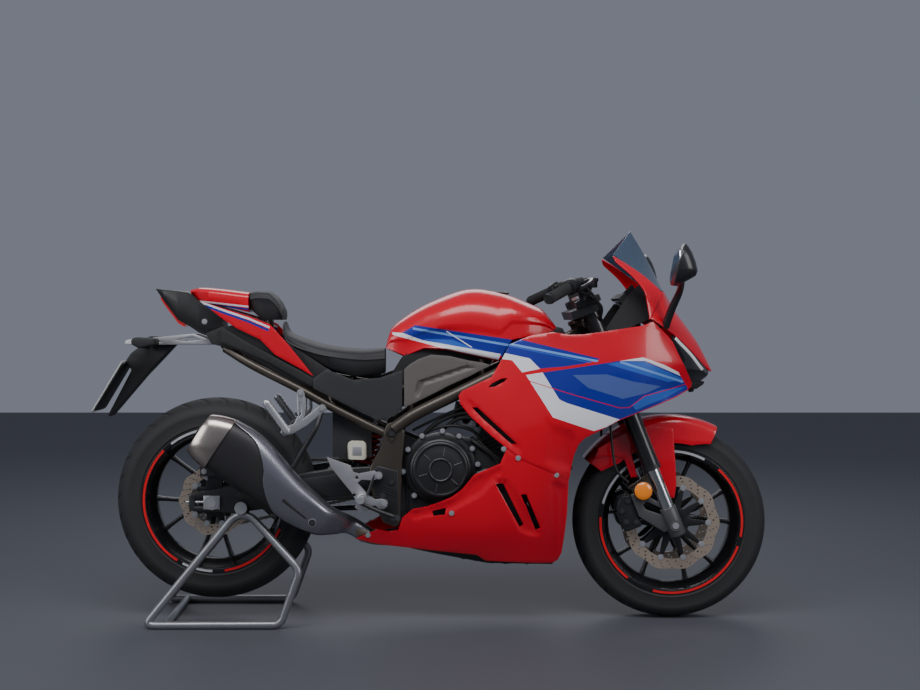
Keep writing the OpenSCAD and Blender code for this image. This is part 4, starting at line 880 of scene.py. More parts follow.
# ---- seats and tail ----
# The rider's seat and the pillion pad are moulded foam under black vinyl, with a sewn seam round their edges.
# Behind them a red cowl closes the tail over a red lamp, with a painted panel down each side.
vinyl = coat("seat_vinyl", (0.020, 0.020, 0.023), rough=0.6, scale=420, depth=0.35, vary=0.2, wear=0.25,
    worn=(0.05, 0.05, 0.055))
SEAT_TOP = [(-459, 921), (-452, 902), (-440, 886), (-379, 862), (-320, 847), (-214, 835), (-146, 838)]
SEAT_LOW = [(-459, 866), (-420, 836), (-312, 776), (-241, 752), (-160, 758), (-146, 762)]
SEAT_WIDE = [(-459, 98), (-400, 122), (-312, 128), (-241, 112), (-180, 88), (-146, 76)]
rings = []
for k in range(80):
    x = -459 + 313 * k / 79
    t, b, w = eased(SEAT_TOP, x), level(SEAT_LOW, x), eased(SEAT_WIDE, x)
    half = [(w * math.sin(a) ** 0.75 * (0.98 if a < 1.5 else 1),
        t - 28 + 28 * max(0, math.cos(a)) ** 0.7) for a in (math.pi / 2 * q / 16 for q in range(17))]
    half += [(w + 1.6, t - 31), (w - 0.6, t - 34), (w - 1, (t + b) / 2), (w - 8, b + 6), (w - 14, b), (w / 2, b),
        (0, b)]
    rings.append([(x, y, z) for y, z in half] + [(x, -y, z) for y, z in half[-2:0:-1]])
seat = loft("rider_seat", rings, "chassis", [vinyl], round_off=6, steps=3, sharp=60)
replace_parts(seat, "seats")
PAD = [(-562, 1012, 962, 78), (-540, 1016, 940, 84), (-520, 1015, 926, 88), (-500, 1012, 926, 88),
    (-476, 988, 926, 86), (-462, 960, 926, 82)]
rings = []
for k in range(32):
    x = -562 + 100 * k / 31
    t, b, w = (eased([(row[0], row[q]) for row in PAD], x) for q in (1, 2, 3))
    half = [(w * math.sin(a) ** 0.75, t - 20 + 20 * max(0,
        math.cos(a)) ** 0.6) for a in (math.pi / 2 * q / 14 for q in range(15))]
    half += [(w + 1.5, t - 23), (w - 0.5, t - 26), (w - 2, (t + b) / 2), (w - 14, b), (w / 2, b), (0, b)]
    rings.append([(x, y, z) for y, z in half] + [(x, -y, z) for y, z in half[-2:0:-1]])
pad = loft("pillion_pad", rings, "chassis", [vinyl], round_off=6, steps=3, sharp=60)

COWL = [(-752, 1022, 1014, 34), (-720, 1027, 984, 58), (-660, 1023, 972, 72), (-600, 1016, 958, 82),
    (-566, 1012, 950, 84)]
rings = []
for k in range(48):
    x = -752 + 186 * k / 47
    t, b, w = (eased([(row[0], row[q]) for row in COWL], x) for q in (1, 2, 3))
    half = [(0, t), (w * 0.3, t - 0.6), (w * 0.6, t - 2), (w * 0.8, t - 5), (w * 0.9, t - 8), (w * 0.97, t - 13),
        (w, t - 20 * w / 84),
        (w - 2, b + (t - b) * 0.28), (w - 5, b + (t - b) * 0.1), (w - 8, b), (w / 2, b), (0, b)]
    rings.append([(x, y, z) for y, z in half] + [(x, -y, z) for y, z in half[-2:0:-1]])
cowl = cut_paint("tail_cowl", [p for r in rings for p in r], skin_faces(len(rings), len(rings[0]), True, True),
    [(streak((-760, 988), (-560, 966), 5), 1), (streak((-760, 982), (-560, 958), 6), 2)], "chassis", PAINTS,
    least_y=20, sharp=40)
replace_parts(cowl, "seat_cowl")


def tail_width(x):
    return eased([(-862, 42), (-780, 62), (-700, 82), (-560, 104), (-440, 122), (-320, 136), (-150, 134), (-60, 138),
        (120, 150)], x)


tail = moulded("tail_side", [(-716, 984), (-640, 961), (-560, 937), (-497, 913), (-444, 856), (-395, 797),
    (-362, 755), (-395, 774),
    (-480, 820), (-527, 867), (-600, 901), (-640, 927)], [],
    [(ribbon([(-716, 981), (-640, 955), (-560, 929), (-497, 903)], 6), 1),
    (ribbon([(-700, 970), (-640, 948), (-560, 920), (-500, 894)], 7), 2)],
    lambda x, z: tail_width(x) + 2.5, "chassis", PAINTS, step=10)
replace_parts(tail, "tail_panels")
moulded("tail_under", [(-650, 857), (-577, 829), (-501, 797), (-400, 741), (-362, 722), (-362, 748), (-400, 771),
    (-440, 791),
    (-520, 833), (-577, 863), (-650, 907)], [], [], lambda x, z: tail_width(x), "chassis", [inner_black], step=12)
CORE = [(-862, 1024, 1020, 20), (-835, 1021, 984, 40), (-790, 1018, 926, 52), (-752, 1013.4, 905, 60),
    (-720, 983.4, 884, 66),
    (-650, 969.4, 860, 72)]
rings = []
for k in range(60):
    x = -862 + 212 * k / 59
    t, b, w = (level([(row[0], row[q]) for row in CORE], x) for q in (1, 2, 3))
    half = [(0, t), (w * 0.5, t - 0.4), (w * 0.85, t - 1), (w * 0.97, t - 4), (w, t + (b - t) * 0.3),
        (w * 0.95, t + (b - t) * 0.6), (w * 0.84, t + (b - t) * 0.85),
        (w * 0.7, b), (w * 0.4, b), (0, b)]
    rings.append([(x, y, z) for y, z in half] + [(x, -y, z) for y, z in half[-2:0:-1]])
core = loft("tail_end", rings, "chassis", [coat("tail_black", (0.02, 0.02, 0.022), rough=0.4, scale=900, depth=0.12,
    gloss=0.1)], sharp=35)
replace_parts(core, "tail_fairing")
red_lens = coat("red_lens", (0.45, 0.01, 0.015), rough=0.08, scale=500, depth=0.02, gloss=0.8,
    glow=(1, 0.05, 0.03, 0.12))
nodes["tail_light"].material_slots[0].material = red_lens
screws("tail_screws", [(-700, s * 88, 921, s) for s in (-1, 1)], 6, 3, "chassis", silver_alloy, 6)
moulded("tail_lining", [(-700, 884), (-640, 908), (-520, 900), (-400, 830), (-300, 764), (-300, 700), (-420, 738),
    (-600, 832), (-680, 852)], [], [],
    lambda x, z: tail_width(x) - 12, "chassis", [inner_black], step=16, thick=2)
moulded("cover_lining", [(-120, 650), (-130, 752), (-100, 800), (-60, 846), (60, 850), (196, 822), (176, 786),
    (111, 750), (0, 700), (-60, 670)], [], [],
    lambda x, z: 96, "chassis", [inner_black], step=16, thick=2)

# ---- frame and subframe ----
# Bronze-grey steel tubes bent round the engine, with a pressed pivot plate each side.
# The plates are welded to the main tubes and carry the swingarm, the footrests and the side stand.
def smooth_path(points, step=9):
    """Points along a smooth line through the given ones."""
    out = []
    for i in range(len(points) - 1):
        a, b = Vector(points[i]), Vector(points[i + 1])
        before, after = Vector(points[max(0, i - 1)]), Vector(points[min(len(points) - 1, i + 2)])
        n = max(2, round((b - a).length / step))
        for k in range(n):
            t = k / n
            out.append(0.5 * (2 * a + (b - before) * t + (2 * before - 5 * a + 4 * b - after) * t * t
                + (3 * a - before - 3 * b + after) * t ** 3))
    return out + [Vector(points[-1])]


def rounded_path(points, reach, parts=6):
    """Points along straight runs whose corners are rounded, starting at reach before each corner."""
    out = [Vector(points[0])]
    for a, q, b in zip(points, points[1:], points[2:]):
        a, q, b = Vector(a), Vector(q), Vector(b)
        r1, r2 = min(reach, (q - a).length * 0.45), min(reach, (b - q).length * 0.45)
        p0, p2 = q + (a - q).normalized() * r1, q + (b - q).normalized() * r2
        out += [p0 * (1 - t) ** 2 + q * 2 * t * (1 - t) + p2 * t * t for t in (k / parts for k in range(parts + 1))]
    return out + [Vector(points[-1])]


def tube(name, path, radius, body, coats, sides=20, both=False, taper=None, loop=False, **more):
    """A round tube along a path of points; taper gives its radius at each end."""
    path = [Vector(p) for p in path]
    rings, lean = [], None
    n = len(path)
    for i, p in enumerate(path):
        d = (path[(i + 1) % n] - path[i - 1]) if loop else (path[min(i + 1, n - 1)] - path[max(i - 1, 0)])
        d.normalize()
        if lean is None:
            lean = d.orthogonal().normalized()
        lean = (lean - d * lean.dot(d)).normalized()
        across = d.cross(lean)
        r = radius if taper is None else taper[0] + (taper[1] - taper[0]) * i / (n - 1)
        rings.append([p + (lean * math.cos(a) + across * math.sin(a)) * r for a in angles(sides)])
    if not loop:
        return loft(name, rings, body, coats, both=both, **more)
    points = [p for r in rings for p in r]
    faces = [(i * sides + j, i * sides + (j + 1) % sides, (i + 1) % n * sides + (j + 1) % sides,
        (i + 1) % n * sides + j)
        for i in range(n) for j in range(sides)]
    if both:
        count = len(points)
        points += [(p[0], -p[1], p[2]) for p in points]
        faces += [tuple(count + i for i in reversed(f)) for f in faces]
    return build(name, points, faces, body, coats, **more)


bronze = coat("frame_bronze", (0.075, 0.062, 0.052), rough=0.36, metal=0.55, scale=1300, depth=0.06, vary=0.1,
    gloss=0.15, wear=0.25,
    worn=(0.16, 0.14, 0.12))
RAKE = math.radians(21.5)
STEM = Vector((740 - 35 * math.cos(RAKE), 0, 300 - 35 * math.sin(RAKE)))
UP, AHEAD = Vector((-math.sin(RAKE), 0, math.cos(RAKE))), Vector((math.cos(RAKE), 0, math.sin(RAKE)))


def steered(x, y, z):
    """A point given in the steering's own frame."""
    return STEM + AHEAD * x + Vector((0, y, 0)) + UP * z


spar = tube("main_spar", rounded_path([steered(0, -18, 650), (372, -110, 838), (215, -140, 772), (76, -148, 703),
    (-60, -149, 638), (-118, -149, 596)], 50),
    19, "chassis", bronze, sides=32, both=True, sharp=60)
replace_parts(spar, "frame")
tube("lower_spar", rounded_path([steered(0, -18, 571), (270, -132, 672), (80, -146, 700)], 40), 15, "chassis", bronze,
    sides=28, both=True, sharp=60)
head_rings = [[steered(r * math.cos(a), r * math.sin(a), h) for a in angles(40)]
    for h, r in ((545, 31), (546, 32.5), (556, 32.5), (558, 29), (676, 29), (678, 32.5), (688, 32.5), (690, 31))]
loft("steering_head", head_rings, "chassis", bronze, sharp=40)
plate_outline = [(-150, 572), (-147, 592), (-138, 612), (-118, 618), (-100, 612), (-84, 590), (-86, 560), (-92, 500),
    (-95, 400), (-96, 318),
    (-104, 304), (-118, 300), (-150, 314), (-172, 360), (-186, 410), (-192, 440), (-190, 480), (-176, 506),
    (-160, 534)]
flat("pivot_plate", plate_outline, [], -158, -140, "chassis", bronze, both=True, round_off=5, steps=3)
flat("pivot_web", [(-140, 584), (-124, 556), (-108, 584), (-122, 604)], [circle(-123, 583, 14)], -163, -157,
    "chassis", bronze, both=True, round_off=2)
flat("pivot_cover", [(-166, 486), (-104, 470), (-102, 330), (-112, 318), (-146, 322), (-164, 362), (-178, 420),
    (-178, 470)], [], -163, -157,
    "chassis", carrier_black, both=True, round_off=3)
for q, z in enumerate((452, 444, 436)):
    flat(f"pivot_rib_{q}", [(-168, z - 20), (-106, z - 44), (-106, z - 41), (-168, z - 17)], [], -165, -162,
        "chassis", inner_black, both=True)
screws("frame_bolts", [(x, s * y, z, s) for x, z, y in ((-124, 438, 164), (-123, 583, 163), (-118, 326, 165),
    (-150, 396, 164)) for s in (-1, 1)],
    8, 7, "chassis", carrier_black, 6)
for s in (-1, 1):
    tube(f"tank_stay_{'r' if s < 0 else 'l'}", [(150, s * 143, 735), (150, s * 118, 780), (150, s * 118, 806)], 8,
        "chassis", bronze, sides=12)
tube("fairing_stay", rounded_path([STEM + UP * 585 + AHEAD * 26, (640, 0, 852), (672, 0, 822)], 12), 12, "chassis",
    inner_black)
tube("fairing_bar", [(640, -118, 852), (640, 118, 852)], 12, "chassis", inner_black)
flat("fairing_plate", [(660, 806), (681.7, 806), (681.7, 834), (660, 834)], [], -90, 90, "chassis", inner_black,
    round_off=2)
for s in (-1, 1):
    tube(f"nose_bar_{'r' if s < 0 else 'l'}", [(640, s * 90, 852), (700, s * 84, 908), (702, s * 120, 910)], 8,
        "chassis", inner_black, sides=12)

rail = tube("seat_rail", rounded_path([(-138, -120, 576), (-298, -122, 655), (-400, -116, 712), (-560, -92, 790),
    (-640, -60, 838)], 50), 13,
    "chassis", bronze, sides=24, both=True, sharp=60)
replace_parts(rail, "subframe")
tube("seat_rail_upper", rounded_path([(-70, -96, 716), (-200, -96, 724), (-330, -96, 748), (-560, -80, 838),
    (-650, -50, 848)], 50), 11, "chassis",
    bronze, sides=20, both=True, sharp=60)
for q, (a, b, r) in enumerate((((-298, -122, 655), (-330, -96, 748), 9), ((-70, -96, 716), (-66, -108, 640), 10),
    ((-560, -80, 836), (-520, -64, 906), 7),
    ((-512, -64, 840), (-512, -64, 925), 9), ((-250, -70, 728), (-250, -70, 753), 9),
    ((-400, -70, 760), (-400, -70, 824), 9))):
    tube(f"seat_strut_{q}", [a, b], r, "chassis", bronze, sides=16, both=True)
for q, (x, z, w) in enumerate(((-70, 716, 96), (-330, 748, 96), (-560, 838, 80))):
    tube(f"seat_cross_{q}", [(x, -w, z), (x, w, z)], 9, "chassis", bronze, sides=16)
flat("plate_bracket", [(-866, 871), (-739, 883), (-700, 868), (-645, 850), (-819, 849)],
    [[(-800, 865), (-742, 873), (-716, 863), (-764, 859)]],
    -56, -48, "chassis", silver_alloy, both=True, round_off=1.5)
flat("tail_tray", [(-872, 849), (-640, 849), (-640, 857), (-872, 856)], [], -54, 54, "chassis", silver_alloy,
    round_off=1)

# ---- swingarm, chain and rear brake ----
# A black box-section arm each side of the wheel, with a silver axle block and adjuster at its end.
# The chain is one loop of steel links on the left.
arm_black = coat("arm_black", (0.022, 0.022, 0.024), rough=0.42, scale=900, depth=0.12, gloss=0.15, wear=0.35)
arm = flat("swing_arm", [(-92, 432), (-96, 470), (-130, 484), (-300, 474), (-560, 432), (-690, 405), (-738, 398),
    (-742, 390), (-742, 350), (-736, 345),
    (-610, 337), (-400, 366), (-150, 392), (-100, 404)], [[(-722, 358), (-688, 358), (-688, 384), (-722, 384)]],
    -130, -108, "chassis", arm_black, both=True, round_off=5, steps=3)
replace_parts(arm, "swingarm")
flat("arm_relief", [(-170, 460), (-300, 456), (-540, 420), (-600, 392), (-540, 372), (-400, 380), (-180, 404)], [],
    -132.5, -129, "chassis", arm_black,
    both=True, round_off=2)
tube("arm_pivot", [(-122, -139.5, 438), (-122, 139.5, 438)], 30, "chassis", arm_black, sides=40, sharp=40)
flat("arm_bridge", [(-332, 404), (-288, 404), (-288, 460), (-332, 460)], [], -108, 108, "chassis", arm_black,
    round_off=8, steps=3)
tube("rear_axle", [(-670, -142, 371), (-670, 142, 371)], 10, "chassis", silver_alloy, sides=24, sharp=40)
flat("axle_block", [(-696, 350), (-646, 350), (-646, 392), (-696, 392)], [], -137, -129.5, "chassis", silver_alloy,
    both=True, round_off=2)
screws("axle_nut", [(-670, s * 139, 371, s) for s in (-1, 1)], 15, 9, "chassis", silver_alloy, 6)
tube("axle_adjuster", [(-696, -122, 371), (-752, -122, 371)], 4, "chassis", silver_alloy, sides=10, both=True)
tube("axle_spacer", [(-670, -107.5, 371), (-670, -92, 371)], 17, "chassis", silver_alloy, sides=24, both=True,
    sharp=40)
tube("stand_spool", [(-580, -126, 357), (-580, -151, 357)], 12, "chassis", silver_alloy, sides=24, both=True,
    sharp=40)
tube("stand_spool_end", [(-580, -152, 357), (-580, -158, 357)], 19, "chassis", silver_alloy, sides=24, both=True,
    sharp=40)

chain_steel = coat("chain_steel", (0.30, 0.28, 0.25), rough=0.38, metal=0.85, scale=900, depth=0.1, vary=0.25,
    wear=0.3)
CHAIN_Y = 96
PITCH = 15.875
DRIVE_R, COG_R = 36, 106
drive_end, wheel_end = Vector((-18, CHAIN_Y, 442)), Vector((REAR[0], CHAIN_Y, REAR[2]))
gap = (wheel_end - drive_end).length
lean = math.asin((COG_R - DRIVE_R) / gap)
way = (wheel_end - drive_end).normalized()
over = Vector((way.z, 0, -way.x))
if over.z < 0:
    over = -over
route = []
for k in range(41):
    a = -math.pi / 2 + lean + (math.pi - 2 * lean) * k / 40
    route.append(drive_end + (over * math.sin(a) - way * math.cos(a)) * DRIVE_R)
for k in range(41):
    a = math.pi / 2 - lean - (math.pi + 2 * lean) * -k / 40
    route.append(wheel_end + (over * math.sin(a) - way * math.cos(a)) * COG_R)
lengths = [0]
for a, b in zip(route, route[1:] + route[:1]):
    lengths.append(lengths[-1] + (b - a).length)
count = round(lengths[-1] / PITCH)
seats, ways = [], []
for k in range(count):
    s = lengths[-1] * k / count
    i = max(j for j in range(len(route)) if lengths[j] <= s)
    a, b = route[i], route[(i + 1) % len(route)]
    seats.append(a + (b - a) * (s - lengths[i]) / max(1e-6, lengths[i + 1] - lengths[i]))
for k in range(count):
    ways.append((seats[(k + 1) % count] - seats[k - 1]).normalized())
points, faces = [], []
for k, (c, w) in enumerate(zip(seats, ways)):
    n = Vector((w.z, 0, -w.x))
    for y0, y1 in (((-7, -5.4), (5.4, 7)) if k % 2 else ((-5, -3.4), (3.4, 5))):
        outline = [(-11.5, -2.4), (-9, -5.6), (-3, -3.6), (3, -3.6), (9, -5.6), (11.5, -2.4), (11.5, 2.4), (9, 5.6),
            (3, 3.6), (-3, 3.6), (-9, 5.6), (-11.5, 2.4)]
        first = len(points)
        for y in (y0, y1):
            points += [c + w * u + n * v + Vector((0, y, 0)) for u, v in outline]
        m = len(outline)
        faces += [tuple(first + i for i in range(m))[::-1], tuple(first + m + i for i in range(m))]
        faces += [(first + i, first + (i + 1) % m, first + m + (i + 1) % m, first + m + i) for i in range(m)]
    first = len(points)
    for y in (-7.4, 7.4):
        points += [c + w * (8 + 3.4 * math.cos(2 * math.pi * q / 8)) + n * 3.4 * math.sin(2 * math.pi * q / 8) + Vector((0, y, 0)) for q in range(8)]
    faces += [tuple(first + i for i in range(8))[::-1], tuple(first + 8 + i for i in range(8))]
    faces += [(first + i, first + (i + 1) % 8, first + 8 + (i + 1) % 8, first + 8 + i) for i in range(8)]
links = build("drive_chain", points, faces, "chassis", chain_steel, double=False, sharp=30)
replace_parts(links, "chain")
TEETH, TOOTH_H = 44, 3.4
teeth = [(REAR[0] + (COG_R + TOOTH_H * math.cos(TEETH * a)) * math.cos(a),
    REAR[2] + (COG_R + TOOTH_H * math.cos(TEETH * a)) * math.sin(a))
    for a in angles(8 * TEETH)]
cog = flat("rear_cog", [(p[0] * 1 + (-670 - p[0]) * 0.055, p[1] + (371 - p[1]) * 0.055) for p in teeth],
    [circle(-670, 371, 62, 40)] + [circle(-670 + 80 * math.cos(a), 371 + 80 * math.sin(a), 11,
    20) for a in (2 * math.pi * (k + 0.5) / 10 for k in range(10))],
    93, 99, "rear_wheel", chain_steel)
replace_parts(cog, "rear_sprocket")
screws("cog_nuts", [(-670 + 70 * math.cos(a), 100.5, 371 + 70 * math.sin(a), 1) for a in angles(5)], 7, 6,
    "rear_wheel", silver_alloy, 6)
turned("cog_carrier", REAR, [(40, 50), (60, 52), (62, 60), (62, 90), (74, 92.5), (30, 92.8)], "rear_wheel", rim_black,
    steps=64)
nodes["rear_caliper"].material_slots[0].material = carrier_black
screws("rear_caliper_bolts", [(x, -102, z, -1) for x, z in ((-700, 462), (-640, 462), (-670, 498))], 6, 4, "chassis",
    silver_alloy, 6)

# ---- engine ----
# A liquid-cooled parallel twin in black: crankcase, cylinders leaning forwards, and turned side covers ringed by silver bolts.
engine_black = coat("engine_black", (0.020, 0.020, 0.022), rough=0.5, scale=1100, depth=0.28, vary=0.2, wear=0.35,
    worn=(0.08, 0.08, 0.085))
cover_grey = coat("cover_grey", (0.032, 0.032, 0.035), rough=0.34, metal=0.4, scale=800, depth=0.08, wear=0.4,
    worn=(0.16, 0.16, 0.165))
nodes["engine"].material_slots[0].material = engine_black
for y0, y1, grow in ((-118, -112, 0), (-124, -117.5, -9)):
    flat(f"case_face_{int(-y0)}", [(-80 - grow, 352), (-62 - grow, 302 - grow), (40, 288 - grow),
        (228 + grow, 294 - grow), (286 + grow, 352), (290 + grow, 456),
        (238, 516 + grow), (60, 556 + grow), (-40, 552 + grow), (-84 - grow, 516)], [], y0, y1, "chassis",
        engine_black, round_off=3)
CLUTCH_X, CLUTCH_Z = 24, 475
BOLT_RING = 114
clutch = turned("clutch_cover", (CLUTCH_X, 0, CLUTCH_Z),
    [(110, -116), (112, -120), (112, -130), (108, -134), (97, -136), (95, -140), (94, -156), (90, -161), (86, -163),
    (84, -168), (80, -171), (76, -171.5), (73, -168), (71, -168), (60, -172), (44, -175), (38, -176), (36, -180),
    (33, -181.5),
    (30, -180), (29, -178), (0.5, -177.5)], "chassis", cover_grey, steps=120, sharp=40)
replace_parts(clutch, "engine_covers")
for q in range(6):
    a = math.radians(60 * q + 18)
    tube(f"clutch_rib_{q}", [(CLUTCH_X + r * math.cos(a), y, CLUTCH_Z + r * math.sin(a)) for r,
        y in ((42, -173.5), (68, -169.5))], 3, "chassis", cover_grey, sides=10)
spots = [(-55, 97), (6, 108), (54, 94), (91, 57), (114, 13), (-99, 58), (-98, -8), (-69, -71), (40, -104), (92, -64),
    (-10, -108)]
for q, (u, v) in enumerate(spots):
    k = BOLT_RING / math.hypot(u, v)
    tube(f"cover_lug_{q}", [(CLUTCH_X + u * k, y, CLUTCH_Z + v * k) for y in (-114, -137)], 10, "chassis", cover_grey,
        sides=18)
screws("cover_bolts", [(CLUTCH_X + u * BOLT_RING / math.hypot(u, v), -140,
    CLUTCH_Z + v * BOLT_RING / math.hypot(u, v), -1) for u, v in spots], 5.6, 5, "chassis", silver_alloy, 6)
turned("pulse_cover", (176, 0, 396), [(78, -116), (80, -119), (80, -130), (74, -136), (40, -140), (0.5, -141)],
    "chassis", cover_grey, steps=90, sharp=40)
turned("generator_cover", (170, 0, 430), [(92, 116), (94, 120), (94, 140), (88, 148), (80, 151), (76, 166), (70, 170),
    (30, 172), (0.5, 172)], "chassis", cover_grey,
    steps=100, sharp=40)
screws("generator_bolts", [(170 + 88 * math.cos(a), 150, 430 + 88 * math.sin(a), 1) for a in angles(9)], 5, 5,
    "chassis", silver_alloy, 6)
flat("sprocket_cover", [(-80, 400), (-76, 508), (-52, 522), (8, 516), (30, 490), (30, 404), (10, 380), (-20, 376),
    (-60, 382)], [], 112, 126, "chassis", cover_grey, round_off=5, steps=3)
# cylinder block's fins, head cover and head bolts
lift = Vector((-58, 0, 160)).normalized()
out_way = Vector((160, 0, 58)).normalized()
for k in range(7):
    c = Vector((208, 0, 500)) + lift * (12 * k)
    tube(f"barrel_fin_{k}", [c - out_way * 70 + Vector((0, -106.5, 0)), c + out_way * 74 + Vector((0, -106.5, 0))],
        2.6, "chassis", engine_black, sides=8, both=True)
flat("head_cover", [(196, 652), (176, 664), (182, 686), (214, 700), (322, 654), (344, 620), (338, 600)], [], -98, 98,
    "chassis", engine_black, round_off=9, steps=3)
screws("head_bolts", [(x, s * 99, z, s) for x, z in ((206, 678), (262, 656), (318, 632)) for s in (-1, 1)], 5, 5,
    "chassis", silver_alloy, 6)
# hoses, wires and the throttle bodies between the frame and the engine
hose_rubber = coat("hose_rubber", (0.016, 0.016, 0.017), rough=0.55, scale=900, depth=0.12)
for q, (path, r) in enumerate((
    ([(-40, -112, 560), (10, -126, 610), (80, -124, 640), (150, -128, 640)], 7),
    ([(-60, -104, 540), (-10, -122, 588), (60, -128, 604), (120, -130, 590), (150, -124, 560)], 5),
    ([(30, -110, 590), (90, -124, 628), (170, -132, 608), (230, -134, 556), (250, -130, 500)], 6),
    ([(120, -112, 560), (150, -128, 540), (196, -132, 500), (206, -130, 440)], 8),
    ([(140, -118, 560), (170, -134, 530), (222, -138, 486), (244, -132, 452)], 5),
    ([(180, -116, 620), (210, -134, 590), (226, -132, 560), (222, -122, 520)], 9),
    ([(-60, -120, 590), (0, -130, 620), (60, -134, 648), (120, -134, 668)], 4),
    ([(320, -110, 640), (370, -130, 610), (384, -132, 560), (330, -118, 470)], 12))):
    tube(f"engine_hose_{q}", smooth_path(path), r, "chassis", hose_rubber, sides=12, both=False)
for s in (-1, 1):
    tube(f"throttle_body_{'r' if s < 0 else 'l'}", [(70, s * 52, 640), (150, s * 52, 622)], 30, "chassis",
        carrier_black, sides=32, sharp=40)
flat("throttle_linkage", [(70, 600), (130, 590), (140, 626), (110, 648), (74, 640)], [circle(104, 620, 12)], -104,
    -96, "chassis", silver_alloy, round_off=2)
flat("engine_mount", [(-112, 312), (-70, 312), (-70, 560), (-112, 560)], [], -106, -98, "chassis", engine_black,
    both=True)
tube("oil_filler", [(110, -112, 350), (110, -132, 350)], 16, "chassis", cover_grey, sides=24, sharp=40)

# ---- radiator and exhaust pipes ----
# An aluminium core in a black frame behind the fork, over two stainless pipes that meet under the engine.
for slot_ in nodes["radiator"].material_slots:
    slot_.material = carrier_black
fins = coat("radiator_fins", (0.05, 0.05, 0.055), rough=0.4, metal=0.6, scale=2600, depth=0.9)
slope = Vector((math.sin(math.radians(-7)), 0, math.cos(math.radians(-7))))
square = Vector((slope.z, 0, -slope.x))
for k in range(36):
    c = Vector((398, 0, 470)) + slope * (17 + 5.6 * k) + square * 19
    loft(f"radiator_fin_{k:02d}", [[c + Vector((0, y, 0)) + square * u + slope * v for u,
        v in ((0, 0), (6, 0), (6, 1.4), (0, 1.4))] for y in (-126, 126)], "chassis", fins)
hot_steel = coat("hot_steel", (0.34, 0.27, 0.20), rough=0.26, metal=0.95, scale=300, depth=0.06, vary=0.35)
port = Vector((322.6, -46, 552))
out = Vector((160, 0, -58)).normalized()
header = tube("header_pipe", rounded_path([port + out * 0.3, port + out * 36, (357, -46, 330), (316, -46, 254),
    (180, -30, 248)], 40), 20, "chassis", hot_steel,
    sides=24, both=True, sharp=60)
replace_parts(header, "exhaust_header")
tube("collector", [(192, 0, 248), (170, 0, 248), (60, 0, 248)], 40, "chassis", hot_steel, sides=32, taper=(40, 28),
    sharp=60)
can_start, can_way = Vector((-246, -98, 294)), Vector((-430, 0, 287)).normalized()
tube("link_pipe", rounded_path([(66, 0, 248), (-60, -46, 246), can_start - can_way * 60, can_start], 40), 23,
    "chassis", hot_steel, sides=24, sharp=60)

# ---- silencer ----
# A black can of rounded section, rising rearwards, under a brushed steel guard that hides its lower half.
# A bright cap with a dark outlet closes its rear end.
def on_can(x, y, h):
    """A point in the can's frame: x along its axis, y outwards from the middle plane, h square to it, forwards and up."""
    side = Vector((-can_way.z, 0, can_way.x))
    if side.z < 0:
        side = -side
    return Vector((can_start.x, 0, can_start.z)) + can_way * x + side * h + Vector((0, -y, 0))


CAN = [(-60, 22, 22, 22, 90), (0, 23, 24, 24, 98), (30, 24, 42, 30, 132), (80, 22, 70, 42, 172),
    (140, 30, 82, 48, 184), (210, 42, 87, 50, 186), (370, 84, 87, 50, 186),
    (470, 82, 84, 50, 186), (510, 70, 80, 46, 186), (542, 56, 70, 38, 186)]


def can_size(x):
    return [eased([(row[0], row[q]) for row in CAN], x) for q in (1, 2, 3, 4)]


def can_ring(x, grow, n=56, power=0.75):
    t, b, w, y = can_size(x)
    ring = []
    for k in range(n):
        a = 2 * math.pi * k / n
        s, c = math.sin(a), math.cos(a)
        ring.append(on_can(x, y + (w + grow) * math.copysign(abs(s) ** power, s),
            ((t if c > 0 else b) + grow) * math.copysign(abs(c) ** power, c)))
    return ring


can_black = coat("can_black", (0.028, 0.027, 0.030), rough=0.42, metal=0.3, scale=1200, depth=0.12, vary=0.12,
    wear=0.2)
guard_steel = coat("guard_steel", (0.33, 0.33, 0.37), rough=0.28, metal=0.9, scale=420, depth=0.06, vary=0.2)
end_steel = coat("end_steel", (0.48, 0.42, 0.38), rough=0.22, metal=0.95, scale=320, depth=0.05, vary=0.3)
can = loft("silencer_can", [can_ring(470 * k / 60, 0) for k in range(61)], "chassis", can_black, sharp=50)
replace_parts(can, "muffler")
cap_rings = [can_ring(x, g) for x, g in ((466, 1.5), (468, 4), (476, 4.5), (500, 4), (520, 3.5), (536, 2.5),
    (542, 0))]
loft("silencer_cap", cap_rings, "chassis", end_steel, sharp=40)
t, b, w, y = can_size(540)
loft("silencer_outlet", [[on_can(x, y + r * 0.9 * math.sin(a), -6 + r * math.cos(a)) for a in angles(36)]
    for x, r in ((538, 26), (548, 26), (548, 20), (520, 20))], "chassis", can_black, sharp=40)
GUARD_LOW = [(-54, -22), (10, -26), (90, -62), (210, -78), (255, -50), (342, 32), (388, 66), (470, 80)]
guard_rings = []
for k in range(64):
    x = -54 + 522 * k / 63
    t, b, w, y = can_size(x)
    low = eased(GUARD_LOW, x)
    size = t if low > 0 else b
    end = math.acos(max(-1, min(1, low / (size + 5))))
    row = []
    for q in range(25):
        a = math.radians(-20) + (end - math.radians(-20)) * q / 24
        s, c = math.sin(a), math.cos(a)
        row.append(on_can(x, y + (w + 4.5) * math.copysign(abs(s) ** 0.75, s),
            ((t if c > 0 else b) + 4.5) * math.copysign(abs(c) ** 0.75, c)))
    guard_rings.append(row)
guard = loft("silencer_guard", guard_rings, "chassis", guard_steel, closed=False, ends=False, thick=3, round_off=0.8,
    sharp=45)
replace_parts(guard, "muffler_guard")
def on_guard(x, h, grow):
    """A point on the guard's outer face, at a height from the can's axis."""
    t, b, w, y = can_size(x)
    c = (abs(h) / ((t if h > 0 else b) + 4.5)) ** (4 / 3)
    return on_can(x, y + (w + 4.5 + grow) * (1 - c * c) ** 0.375, h)


